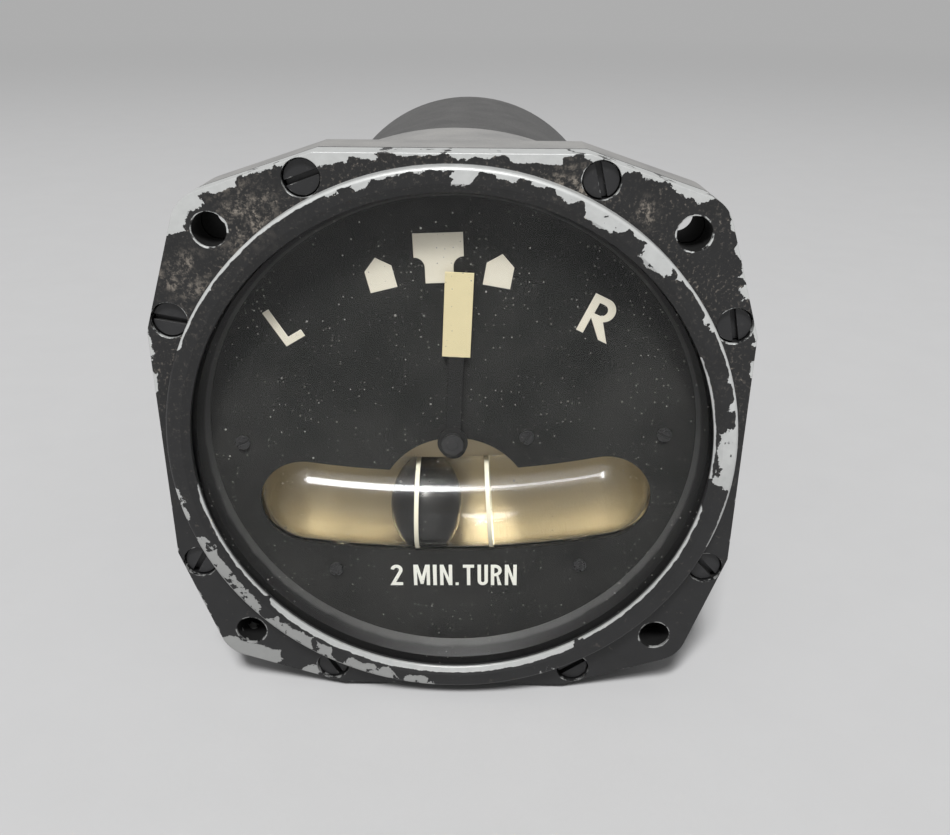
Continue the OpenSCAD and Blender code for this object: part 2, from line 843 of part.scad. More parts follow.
module rate_mark() {
  polygon([
    [-rate_w / 2, 0],
    [rate_w / 2, 0],
    [rate_w / 2, rate_side_h],
    [0, rate_h],
    [-rate_w / 2, rate_side_h]
  ]);
}

module index_mark() {
  shelf = index_top - index_head_h;
  stem = index_stem_w / 2;
  fillet = min(index_fillet, index_w / 2 - stem);
  box_2d(-index_w / 2, shelf, index_w / 2, index_top);
  box_2d(-stem, index_foot, stem, index_top);
  for (side = [-1, 1]) scale([side, 1]) difference() {
    box_2d(stem, shelf - fillet, stem + fillet, shelf);
    translate([stem + fillet, shelf - fillet]) circle(r = fillet);
  }
}

module dial_marks() {
  color("#e6dcc0") rotate([0, -dial_roll - scale_roll, 0]) plate_y(dial_y - mark_t, dial_y)
    translate([scale_shift, 0]) {
      index_mark();
      for (side = [-1, 1]) rotate(-side * rate_angle) translate([0, rate_base_r])
        rotate(side * (rate_angle - rate_lean)) rate_mark();
    }
}

module dial_screws() {
  color("#161618") dial_lean() for (p = dial_screw_places) translate([p.x, 0, p.y]) {
    difference() {
      rod_y(dial_y - dial_head_h, dial_y, dial_head_d / 2);
      slot_y(dial_y - dial_head_h, dial_head_d / 2, dial_head_d * 0.2, dial_head_h / 2, 5 * p.x);
    }
    rod_y(dial_y, dial_back + dial_thread_len, dial_thread_r);
  }
}

module tube_section() {
  difference() {
    circle(r = tube_r);
    circle(r = bore_r);
  }
}

module inclinometer_tube() {
  color("#d8d0b0", 0.4) tube_sweep(tube_half_angle) tube_section();
}

// Domes that close the tube at both ends
module tube_ends() {
  color("#d8d0b0", 0.4) for (side = [-1, 1]) at_tube(side * tube_half_angle) rotate([0, side * 90, 0])
    rotate_extrude() intersection() {
      tube_section();
      square(2 * tube_r);
    }
}

module inclinometer_bands() {
  color("#d9cba0") for (side = [-1, 1]) band_ring(side, 0);
}

// Half dome that closes the cradle at one end
module cradle_end(side) {
  deep = 2 * cradle_out_r;
  at_tube(side * tube_half_angle) difference() {
    rotate([0, side * 90, 0]) rotate_extrude() intersection() {
      difference() {
        circle(r = cradle_out_r);
        circle(r = cradle_in_r);
      }
      square(deep);
    }
    translate([-deep, -2 * deep, -deep]) cube(2 * deep);
  }
}

// Flat apron on the trough's upper edge that fills the bay up to the arbor
module cradle_apron() {
  dial_lean() plate_y(tube_y, tube_y + cradle_t) intersection() {
    translate([0, -bay_drop]) circle(r = bay_r + apron_over);
    translate([0, bend_z]) circle(r = bend_r - cradle_in_r - cradle_t / 2);
    box_2d(-bay_r, tube_z, bay_r, apron_top);
  }
}

// Half trough behind the tube, with an apron and half domes at its ends, on a flat foot
module inclinometer_cradle() {
  deep = 2 * cradle_out_r;
  color("#c9b384") union() {
    tube_sweep(tube_half_angle) difference() {
      union() {
        circle(r = cradle_out_r);
        box_2d(-cradle_foot_w / 2, 0, cradle_foot_w / 2, bracket_y - tube_y);
      }
      circle(r = cradle_in_r);
      box_2d(-deep, -deep, deep, 0);
    }
    cradle_apron();
    for (side = [-1, 1]) cradle_end(side);
  }
}

module inclinometer_bracket() {
  color("#77797a") dial_lean() difference() {
    union() {
      plate_y(bracket_y, bracket_back) intersection() {
        circle(r = bracket_r);
        box_2d(-bracket_r, bracket_bottom, bracket_r, bracket_top);
      }
      for (p = post_places) rod_y(dial_back, shoulder_back, bracket_post_d / 2, p.x, p.y);
      rod_y(dial_back, bracket_back, bracket_post_d / 2, dial_screw_places[4].x, dial_screw_places[4].y);
    }
    hole_y(bracket_y, bracket_back, pointer_bush_r + fit_gap);
    for (p = dial_screw_places)
      hole_y(dial_back, dial_back + dial_thread_len - cut + seat_gap, dial_thread_r + fit_gap, p.x, p.y);
    for (p = post_places)
      hole_y(shoulder_back - bracket_screw_hold, shoulder_back, bracket_screw_r + fit_gap, p.x, p.y);
  }
}

module bracket_screws() {
  color("#8a8c8e") dial_lean() for (p = post_places)
    rear_screw(p.x, p.y, front_plate_back, bracket_screw_head_r, bracket_screw_r,
      plate_t + bracket_screw_hold, 40);
}

module slip_ball() {
  color("#0c0c0d") at_tube(ball_rest) translate([0, 0, -ball_sink]) sphere(r = ball_r);
}

module pointer_blade() {
  color("#dcc796") rotate([0, pointer_lean, 0]) plate_y(blade_y, blade_y + blade_t) difference() {
    union() {
      circle(r = boss_r);
      box_2d(-stem_w / 2, 0, stem_w / 2, tip_outer_r);
      box_2d(-tip_w / 2, tip_inner_r, tip_w / 2, tip_outer_r);
    }
    circle(r = hub_sleeve_r + fit_gap);
  }
}

module pointer_hub() {
  color("#18181a") difference() {
    union() {
      rod_y(hub_front, blade_y, hub_d / 2);
      rod_y(blade_y, hub_back, hub_sleeve_r);
    }
    hole_y(hub_front, hub_back, arbor_r + fit_gap);
  }
}

module pointer_arbor() {
  color("#b9bcbe") {
    rod_y(hub_front, arbor_end, arbor_r);
    rod_y(arbor_collar_y, arbor_collar_y + arbor_collar_t, arbor_collar_r);
  }
}

module pointer_fork() {
  slot = crank_pin_r + fork_gap;
  color("#a58a45") plate_y(fork_y, fork_y + fork_t) difference() {
    union() {
      circle(r = boss_r);
      box_2d(-slot - fork_wall, -fork_reach, slot + fork_wall, 0);
    }
    circle(r = arbor_r + fit_gap);
    box_2d(-slot, -fork_reach - cut, slot, -boss_r);
  }
}

// A flanged bush in a plate, its flange in front of the face at y
module flanged_bush(y, length, r, flange_r, bore, z) {
  difference() {
    union() {
      rod_y(y - bush_flange_t, y, flange_r, 0, z);
      rod_y(y, y + length, r, 0, z);
    }
    hole_y(y - bush_flange_t, y + length, bore, 0, z);
  }
}

module pointer_bushes() {
  color("#b08d3f") {
    flanged_bush(bracket_y, bracket_t, pointer_bush_r, pointer_bush_flange_r, arbor_r + run_gap, 0);
    flanged_bush(shoulder_back, plate_t, pointer_bush_r, pointer_bush_flange_r, arbor_r + run_gap, 0);
  }
}

module case_body() {
  land_root = max(dial_back, body_y);
  shoulder_front = shoulder_back - shoulder_t;
  color("#3b3c3f") {
    difference() {
      union() {
        plate_y(body_y, octagon_depth) flange_outline();
        rod_y(body_y, drum_end, drum_d / 2);
      }
      hole_y(body_y, land_root - cut, land_r + seat_gap);
      hole_y(body_y, shoulder_front - cut, case_bore_r);
      hole_y(shoulder_front, shoulder_back, shoulder_bore_d / 2);
      hole_y(shoulder_back + cut, drum_end, case_bore_r);
      hole_y(can_seat + cut, drum_end, can_r + run_gap);
      mount_holes();
      for (p = bezel_screw_places)
        hole_y(body_y, bezel_thread_end - cut + seat_gap, bezel_thread_r + fit_gap, p.x, p.y);
      for (a = plate_screw_angles)
        hole_y(shoulder_front, shoulder_back, plate_screw_r + fit_gap,
          plate_screw_at_r * cos(a), plate_screw_at_r * sin(a));
    }
    spin_y() box_2d(case_bore_r, dial_back, land_r, land_root + cut);
  }
}

module case_can() {
  color("#2b2c2e") difference() {
    spin_y() polygon([
      [can_in_r, can_front],
      [can_r, can_front],
      [can_r, can_end - can_edge],
      [can_r - can_edge, can_end],
      [can_hole_r, can_end],
      [can_hole_r, can_inside_end],
      [can_in_r, can_inside_end]
    ]);
    for (p = pillar_places) hole_y(can_inside_end, can_end, can_screw_r + seat_gap, p.x, p.y);
    connector_screw_holes(can_inside_end, can_end);
  }
}

module can_seal() {
  color("#111111") spin_y() box_2d(can_in_r, can_seat, can_r, can_front);
}

module can_screws() {
  color("#8a8c8e") for (p = pillar_places)
    rear_screw(p.x, p.y, can_end, can_screw_head_r, can_screw_r, can_end_t + can_screw_hold, 2 * p.x);
}

module front_plate() {
  color("#9b9d9f") difference() {
    rod_y(shoulder_back, front_plate_back, front_plate_d / 2);
    hole_y(shoulder_back, front_plate_back, pointer_bush_r + fit_gap);
    hole_y(shoulder_back, front_plate_back, gimbal_bush_r + fit_gap, 0, gimbal_z);
    for (a = plate_screw_angles)
      hole_y(shoulder_back, front_plate_back, plate_screw_r + seat_gap,
        plate_screw_at_r * cos(a), plate_screw_at_r * sin(a));
    for (p = pillar_places) hole_y(shoulder_back, front_plate_back, pillar_tail_r + fit_gap, p.x, p.y);
    for (side = [-1, 1])
      hole_y(shoulder_back, front_plate_back, stop_tail_r + fit_gap, side * stop_x, stop_z);
    dial_lean() for (p = post_places)
      hole_y(shoulder_back, front_plate_back, bracket_screw_r + seat_gap, p.x, p.y);
  }
}

module plate_screws() {
  color("#8a8c8e") for (a = plate_screw_angles)
    rear_screw(plate_screw_at_r * cos(a), plate_screw_at_r * sin(a), front_plate_back,
      plate_screw_head_r, plate_screw_r, plate_t + shoulder_t, a);
}

module frame_pillars() {
  color("#a9abad") for (p = pillar_places) {
    rod_y(shoulder_back + cut / 2, front_plate_back, pillar_tail_r, p.x, p.y);
    rod_y(front_plate_back, rear_plate_y, pillar_r, p.x, p.y);
    rod_y(rear_plate_y, rear_plate_back + pillar_stud_hold, pillar_stud_r, p.x, p.y);
  }
}

module rear_plate() {
  color("#9b9d9f") difference() {
    rod_y(rear_plate_y, rear_plate_back, rear_plate_d / 2);
    hole_y(rear_plate_y, rear_plate_back, gimbal_bush_r + fit_gap, 0, gimbal_z);
    for (p = pillar_places) hole_y(rear_plate_y, rear_plate_back, pillar_stud_r + fit_gap, p.x, p.y);
    for (p = block_screw_places) hole_y(rear_plate_y, rear_plate_back, block_screw_r + seat_gap, p.x, p.y);
  }
}

module rear_posts() {
  color("#a9abad") for (p = pillar_places) difference() {
    along_y(rear_plate_back, p.x, p.y)
      cylinder(h = can_inside_end - rear_plate_back, d = post_flats / cos(30), $fn = 6);
    hole_y(rear_plate_back, rear_plate_back + pillar_stud_hold, pillar_stud_r + fit_gap, p.x, p.y);
    hole_y(can_inside_end - can_screw_hold, can_inside_end, can_screw_r + fit_gap, p.x, p.y);
  }
}

module block_screws() {
  color("#8a8c8e") for (p = block_screw_places)
    rear_screw(p.x, p.y, rear_plate_back, block_screw_head_r, block_screw_r,
      plate_t + block_screw_hold, 60);
}

module gimbal_bushes() {
  color("#b08d3f") {
    flanged_bush(shoulder_back, plate_t, gimbal_bush_r, gimbal_bush_flange_r, pivot_r + run_gap, gimbal_z);
    flanged_bush(rear_plate_y, plate_t, gimbal_bush_r, gimbal_bush_flange_r, pivot_r + run_gap, gimbal_z);
  }
}

module gimbal_frame() {
  color("#b4b6b7") difference() {
    union() {
      difference() {
        translate([-gimbal_half_w, gimbal_y, gimbal_z - bar_half_h]) cube([gimbal_w, gimbal_len, bar_h]);
        translate([-bearing_in, gimbal_y + bar_t, gimbal_z - bar_h])
          cube([2 * bearing_in, gimbal_len - 2 * bar_t, 2 * bar_h]);
      }
      rod_x(bearing_in, gimbal_half_w, boss_ring_r);
      rod_x(-gimbal_half_w, -bearing_in, boss_ring_r);
    }
    rod_x(-gimbal_w, gimbal_w, bearing_r + fit_gap);
    hole_y(gimbal_y, gimbal_y + pivot_hold - cut + seat_gap, pivot_r + fit_gap, 0, gimbal_z);
    hole_y(gimbal_back - pivot_hold + cut - seat_gap, gimbal_back, pivot_r + fit_gap, 0, gimbal_z);
  }
}

module gimbal_pivots() {
  front = shoulder_back - bush_flange_t;
  color("#c4c6c8") {
    rod_y(front, gimbal_y + pivot_hold, pivot_r, 0, gimbal_z);
    rod_y(crank_y + crank_t, gimbal_y, pivot_collar_r, 0, gimbal_z);
    rod_y(gimbal_back - pivot_hold, rear_plate_back, pivot_r, 0, gimbal_z);
    rod_y(gimbal_back, arm_y, pivot_collar_r, 0, gimbal_z);
  }
}

module gimbal_crank() {
  pin_z = gimbal_z + crank_pin_rise;
  color("#a58a45") {
    plate_y(crank_y, crank_y + crank_t) difference() {
      union() {
        translate([0, gimbal_z]) circle(r = pivot_collar_r);
        translate([0, pin_z]) circle(r = crank_w / 2);
        box_2d(-crank_w / 2, gimbal_z, crank_w / 2, pin_z);
      }
      translate([0, gimbal_z]) circle(r = pivot_r + fit_gap);
    }
    rod_y(fork_y - crank_pin_past, crank_y + crank_t / 2, crank_pin_r, 0, pin_z);
  }
}

module damper_arm() {
  color("#a58a45") {
    plate_y(arm_y, arm_y + arm_t) difference() {
      union() {
        translate([0, gimbal_z]) circle(r = arm_ring_r);
        translate([damper_x, gimbal_z]) circle(r = arm_w / 2);
        box_2d(damper_x, gimbal_z - arm_w / 2, 0, gimbal_z + arm_w / 2);
        box_2d(-spring_pad_w / 2, gimbal_z, spring_pad_w / 2, spring_foot);
      }
      translate([0, gimbal_z]) circle(r = pivot_r + fit_gap);
    }
    rod_y(arm_y + arm_t / 2, eye_y + eye_t + arm_pin_past, arm_pin_r, damper_x, gimbal_z);
  }
}

module tilt_stops() {
  color("#c4c6c8") for (side = [-1, 1]) {
    rod_y(shoulder_back + cut / 2, front_plate_back, stop_tail_r, side * stop_x, stop_z);
    rod_y(front_plate_back, gimbal_y + bar_t - cut, stop_r, side * stop_x, stop_z);
  }
}

module gyro_rotor() {
  color("#8f7a4a") translate([0, rotor_y, gimbal_z]) rotate([0, 90, 0]) rotate_extrude() polygon([
    [shaft_r + fit_gap, -rotor_half_w],
    [rotor_r, -rotor_half_w],
    [rotor_r, rotor_half_w],
    [rim_in_r, rotor_half_w],
    [rim_in_r, web_t - rotor_half_w],
    [hub_r, web_t - rotor_half_w],
    [hub_r, rotor_half_w],
    [shaft_r + fit_gap, rotor_half_w]
  ]);
}

module rotor_shaft() {
  end = gimbal_half_w - seat_gap;
  color("#c4c6c8") rod_x(-end, end, shaft_r);
}

module rotor_bearings() {
  color("#b9bcbe") for (x0 = [-gimbal_half_w, bearing_in]) difference() {
    rod_x(x0, x0 + bar_t, bearing_r);
    rod_x(x0 - cut, x0 + bar_t + cut, shaft_r + run_gap);
  }
}

module bearing_caps() {
  color("#9b9d9f") for (x0 = [-gimbal_half_w - cap_t, gimbal_half_w]) rod_x(x0, x0 + cap_t, boss_ring_r);
}

module stator_core() {
  color("#5c5f63") difference() {
    rod_x(stator_left, stator_right, stator_r);
    rod_x(stator_left - cut, stator_right + cut, stator_bore_r);
    for (i = [0:stator_slots - 1]) translate([0, rotor_y, gimbal_z]) rotate([i * 360 / stator_slots, 0, 0])
      translate([stator_left - cut, -slot_w / 2, stator_r - slot_depth])
        cube([stator_right - stator_left + 2 * cut, slot_w, slot_depth + cut]);
  }
}

module stator_winding() {
  color("#9a5a2c") difference() {
    rod_x(stator_left - winding_t, stator_left, winding_out_r);
    rod_x(stator_left - winding_t - cut, stator_left + cut, winding_in_r);
  }
}

module stator_carrier() {
  color("#77797a") difference() {
    rod_x(stator_right, bearing_in, carrier_r);
    rod_x(stator_right - cut, bearing_in + cut, stator_bore_r);
  }
}

module damper_cylinder() {
  color("#b08d3f") difference() {
    union() {
      translate([damper_x, damper_y, damper_bottom]) cylinder(h = damper_len, r = damper_r);
      translate([damper_x - damper_block_w / 2, damper_y, damper_bottom + (damper_len - damper_block_h) / 2])
        cube([damper_block_w, rear_plate_y - damper_y, damper_block_h]);
    }
    translate([damper_x, damper_y, damper_bottom + damper_floor])
      cylinder(h = damper_len, r = damper_bore_r);
    translate([damper_x, damper_y, damper_bottom - cut])
      cylinder(h = 2 * cut + damper_floor, r = damper_rod_hole_r);
    for (i = [0, 1])
      hole_y(rear_plate_y - block_screw_hold + cut, rear_plate_y, block_screw_r + fit_gap,
        block_screw_places[i].x, block_screw_places[i].y);
  }
}

module damper_piston() {
  eye_w = damper_rod_r + eye_side;
  eye_h = arm_pin_r + eye_end_h;
  color("#c4c6c8") {
    translate([damper_x, damper_y, piston_z]) cylinder(h = piston_len, r = piston_r);
    translate([damper_x, damper_y, gimbal_z + eye_h + eye_rim / 2])
      cylinder(h = piston_z - gimbal_z - eye_h, r = damper_rod_r);
    plate_y(eye_y, eye_y + eye_t) translate([damper_x, gimbal_z]) difference() {
      box_2d(-eye_w - eye_rim, -eye_h - eye_rim, eye_w + eye_rim, eye_h + eye_rim);
      box_2d(-eye_w, -eye_h, eye_w, eye_h);
    }
  }
}

// Helix that grows out of straight ends on the spring's own axis
spring_rise = (spring_len - spring_turns * spring_pitch) / 2;
spring_ring_step = 1 / 8;
spring_grow = 0.9;
spring_stub = 2 * spring_wire_r;
function eased(t) = let (s = max(0, min(1, t))) s * s * (3 - 2 * s);
function spring_point(u) =
  let (s = eased(u / spring_grow), e = eased((spring_turns - u) / spring_grow), r = spring_r * s * e)
  let (stub = spring_stub * (1 - 2 * u / spring_turns))
  [
    r * cos(360 * u),
    spring_y + r * sin(360 * u),
    spring_foot + spring_pitch * u + spring_rise * (s + 1 - e) + stub
  ];
spring_steps = [for (u = [0:spring_ring_step:spring_turns]) u];
spring_points = concat(
  [[0, spring_y, spring_foot]],
  [for (u = spring_steps) spring_point(u)],
  [[0, spring_y, spring_top]]
);
spring_guides = concat([[1, 0, 0]], [for (u = spring_steps) [cos(360 * u), sin(360 * u), 0]], [[1, 0, 0]]);
spring_gaps = [
  for (i = [0:len(spring_points) - 1], j = [i + 6:len(spring_points) - 1])
    norm(spring_points[i] - spring_points[j]) - 2 * spring_wire_r
];

module centring_spring() {
  echo(centring_spring_least_gap = min(spring_gaps));
  color("#8f9294") tube_along(spring_points, spring_guides, spring_wire_r, 6);
}

module spring_adjuster() {
  color("#b08d3f") difference() {
    union() {
      translate([0, spring_y, spring_top]) cylinder(h = adjuster_pad_t, r = adjuster_pad_r);
      translate([0, spring_y, spring_top]) cylinder(h = adjuster_top - spring_top, r = adjuster_r);
    }
    translate([-adjuster_pad_r, spring_y - adjuster_slot_w / 2, adjuster_top - adjuster_slot_depth])
      cube([2 * adjuster_pad_r, adjuster_slot_w, adjuster_slot_depth + cut]);
  }
}

module adjuster_bracket() {
  arm_front = spring_y - adjuster_arm_w / 2;
  color("#9b9d9f") difference() {
    union() {
      translate([-adjuster_arm_w / 2, arm_front, adjuster_arm_z])
        cube([adjuster_arm_w, rear_plate_y - arm_front, adjuster_arm_h]);
      translate([-adjuster_foot_w / 2, rear_plate_y - adjuster_foot_t, adjuster_foot_z])
        cube([adjuster_foot_w, adjuster_foot_t, adjuster_foot_h]);
    }
    translate([0, spring_y, adjuster_arm_z - cut])
      cylinder(h = adjuster_arm_h + 2 * cut, r = adjuster_r + fit_gap);
    for (i = [2, 3])
      hole_y(rear_plate_y - block_screw_hold + cut, rear_plate_y, block_screw_r + fit_gap,
        block_screw_places[i].x, block_screw_places[i].y);
  }
}

module adjuster_nut() {
  color("#8a8c8e") translate([0, spring_y, adjuster_arm_z + adjuster_arm_h]) difference() {
    cylinder(h = adjuster_nut_h, d = adjuster_nut_flats / cos(30), $fn = 6);
    translate([0, 0, -cut]) cylinder(h = adjuster_nut_h + 2 * cut, r = adjuster_r + fit_gap);
  }
}

module filter_board() {
  color("#3f5a34") rod_y(board_y, board_back, board_d / 2);
}

module board_spacers() {
  color("#a9abad") for (side = [-1, 1])
    rod_y(rear_plate_back, board_y, board_spacer_r, side * board_spacer_x, 0);
}

module filter_capacitors() {
  color("#4a4d55") for (side = [-1, 1])
    rod_y(board_back, board_back + capacitor_len, capacitor_d / 2, side * capacitor_x, capacitor_z);
}

function contact_place(i) = let (a = 90 + i * 360 / contact_count) contact_at_r * [cos(a), sin(a)];

module lead_wires() {
  color("#b8b49c") for (i = [0:contact_count - 1]) {
    p = contact_place(i);
    wire_len = contact_front - board_back;
    points = [
      for (k = [0:wire_rings])
        let (y = k / wire_rings * wire_len)
        let (bend = eased((y - wire_straight) / (wire_len - 2 * wire_straight)))
        let (spread = (wire_at_r + (contact_at_r - wire_at_r) * bend) / contact_at_r)
        [p.x * spread, board_back + y, p.y * spread]
    ];
    tube_along(points, [for (q = points) [0, 0, 1]], wire_r, 8);
  }
}

module connector_plate() {
  half = connector_flange_w / 2;
  box_2d(-half, connector_corner_r - half, half, half - connector_corner_r);
  box_2d(connector_corner_r - half, -half, half - connector_corner_r, half);
  for (sx = [-1, 1], sz = [-1, 1]) translate((half - connector_corner_r) * [sx, sz])
    circle(r = connector_corner_r);
}

module connector_screw_holes(y0, y1) {
  for (sx = [-1, 1], sz = [-1, 1])
    hole_y(y0, y1, connector_screw_r + seat_gap, sx * connector_screw_at, sz * connector_screw_at);
}

module connector_gasket() {
  color("#151515") difference() {
    plate_y(can_end, connector_flange_y) connector_plate();
    hole_y(can_end, connector_flange_y, can_hole_r);
    connector_screw_holes(can_end, connector_flange_y);
  }
}

module connector_shell() {
  color("#8d9192") difference() {
    union() {
      plate_y(connector_flange_y, connector_barrel_y) connector_plate();
      rod_y(connector_flange_y, connector_end, connector_r);
    }
    hole_y(connector_flange_y, connector_end, connector_bore_r);
    connector_screw_holes(connector_flange_y, connector_barrel_y - cut);
  }
}

module connector_insert() {
  color("#2c2320") difference() {
    rod_y(insert_front, connector_end - connector_recess, insert_r);
    for (i = [0:contact_count - 1])
      hole_y(insert_front, connector_end, contact_r + fit_gap, contact_place(i).x, contact_place(i).y);
  }
}

module connector_contacts() {
  back = connector_end - connector_recess;
  color("#c2a75a") for (i = [0:contact_count - 1]) difference() {
    rod_y(contact_front, back, contact_r, contact_place(i).x, contact_place(i).y);
    hole_y(back - contact_bore_depth, back, contact_bore_r, contact_place(i).x, contact_place(i).y);
  }
}

module connector_screws() {
  color("#8a8c8e") for (sx = [-1, 1], sz = [-1, 1])
    rear_screw(sx * connector_screw_at, sz * connector_screw_at, connector_barrel_y, connector_screw_head_r,
      connector_screw_r, connector_flange_t + connector_gasket_t + connector_screw_hold, 25 * sx);
}

front_bezel();
bezel_screws();
bezel_gasket();
cover_glass();
glass_gasket();
glass_spacer();
dial_plate();
dial_marks();
dial_screws();
inclinometer_tube();
tube_ends();
inclinometer_bands();
inclinometer_cradle();
inclinometer_bracket();
bracket_screws();
slip_ball();
pointer_blade();
pointer_hub();
pointer_arbor();
pointer_fork();
pointer_bushes();
case_body();
case_can();
can_seal();
can_screws();
front_plate();
plate_screws();
frame_pillars();
rear_plate();
rear_posts();
block_screws();
gimbal_bushes();
gimbal_frame();
gimbal_pivots();
gimbal_crank();
damper_arm();
tilt_stops();
gyro_rotor();
rotor_shaft();
rotor_bearings();
bearing_caps();
stator_core();
stator_winding();
stator_carrier();
damper_cylinder();
damper_piston();
centring_spring();
spring_adjuster();
adjuster_bracket();
adjuster_nut();
filter_board();
board_spacers();
filter_capacitors();
lead_wires();
connector_shell();
connector_gasket();
connector_insert();
connector_contacts();
connector_screws();
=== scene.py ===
"""Looks of an aircraft turn and slip indicator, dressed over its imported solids.

Lengths in the classes are millimetres unless a name says otherwise; the scene itself is in metres.
X is right, Y runs to the rear and Z is up, with the origin at the centre of the flange's front face.
Angles are degrees. Scales of noise are features per metre, and shares and fields run from 0 to 1.
"""
import json
import logging
import math
from dataclasses import dataclass, field
from enum import Enum
from functools import cached_property, reduce
from typing import Dict, Iterable, List, Optional, Protocol, Sequence, Tuple, Union

import bmesh
import bpy
from mathutils import Matrix, Vector

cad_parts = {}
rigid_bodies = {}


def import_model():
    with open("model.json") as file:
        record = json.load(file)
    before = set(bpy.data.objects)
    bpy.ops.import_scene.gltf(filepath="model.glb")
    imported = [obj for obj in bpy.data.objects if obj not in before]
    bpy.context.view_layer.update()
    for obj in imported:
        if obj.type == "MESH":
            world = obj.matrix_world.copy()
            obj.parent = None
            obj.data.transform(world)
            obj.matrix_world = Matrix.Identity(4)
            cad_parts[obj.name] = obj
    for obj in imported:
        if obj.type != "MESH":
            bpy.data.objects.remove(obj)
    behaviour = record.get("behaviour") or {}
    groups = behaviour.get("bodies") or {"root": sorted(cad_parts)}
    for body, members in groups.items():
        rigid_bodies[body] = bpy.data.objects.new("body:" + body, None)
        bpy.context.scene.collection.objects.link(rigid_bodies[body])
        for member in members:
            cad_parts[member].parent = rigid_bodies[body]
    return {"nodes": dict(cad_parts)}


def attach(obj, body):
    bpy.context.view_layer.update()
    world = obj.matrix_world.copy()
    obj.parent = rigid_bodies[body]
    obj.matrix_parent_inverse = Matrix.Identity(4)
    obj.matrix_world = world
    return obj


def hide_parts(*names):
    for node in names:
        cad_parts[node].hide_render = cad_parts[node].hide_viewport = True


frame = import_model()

log = logging.getLogger("turn_and_slip")

Point = Tuple[float, float]
Outline = List[Point]
Place = Tuple[float, float, float]
Colour = Tuple[float, float, float]
Chip = Tuple[float, float, float]  # two angles clockwise from the top, and a depth
Noise = Tuple[float, float, float]  # scale, octaves, and strength of the finer ones
Patches = Tuple[float, float, float, float, float]  # noise, and the levels between which it fades in
Specks = Tuple[float, float, float]  # spacing, largest radius, and share of the places that hold one
Socket = bpy.types.NodeSocket
Value = Union[float, Sequence[float], Socket]
Inputs = Dict[Union[str, int], Value]

MM = 0.001
WHITE: Colour = (1.0, 1.0, 1.0)
HOLE_AT = 31.431  # mounting holes, across and up from the axis
# painted shade: near-black colour painted inside mounting holes and bores, where shade falls
HOLE_SHADE: Colour = (0.003, 0.003, 0.003)
HOLE_ROUGH = 0.95
GRAIN_SWING = 0.2  # how far fine grain moves a roughness
CHIPS_FROM = 268.0  # angle at which the curves of chips start
CHIPS_DEEPEST = 4.0  # depth that the top of a chip curve stands for
CHIP_EDGE = 0.04  # half the width over which paint ends
EDGE_COSINES: Point = (0.995, 0.82)  # turn of a rounded normal away from an edge and on it
EDGE_SAMPLES = 6
SHARP_ANGLE = 40.0  # edges that turn by less aren't rounded
ROUND_STEPS = 3
MITRE_LEAST = 0.35  # keeps the mitre of a sharp corner short
FINE_CLOUD: Noise = (500.0, 5.0, 0.6)


class Body(Enum):
    """Bodies that new pieces ride."""

    CASE = "case"


class Slot(Enum):
    """Names of material slots; nothing in the script uses them."""

    MARKS = "mark_cream"
    TUBE = "tube_glass"


class Kind(Enum):
    """What a node graph belongs to, by the name of its output."""

    MATERIAL = "Material"
    WORLD = "World"


class Ray(Enum):
    """Kinds of rays that a shader can tell apart."""

    CAMERA = "Is Camera Ray"
    GLOSSY = "Is Glossy Ray"
    TRANSMISSION = "Is Transmission Ray"
    SHADOW = "Is Shadow Ray"
    DIFFUSE = "Is Diffuse Ray"


def shade(colour: Colour, factor: float) -> Colour:
    """Return a colour made darker or lighter by a factor."""
    return tuple(min(1.0, factor * part) for part in colour)


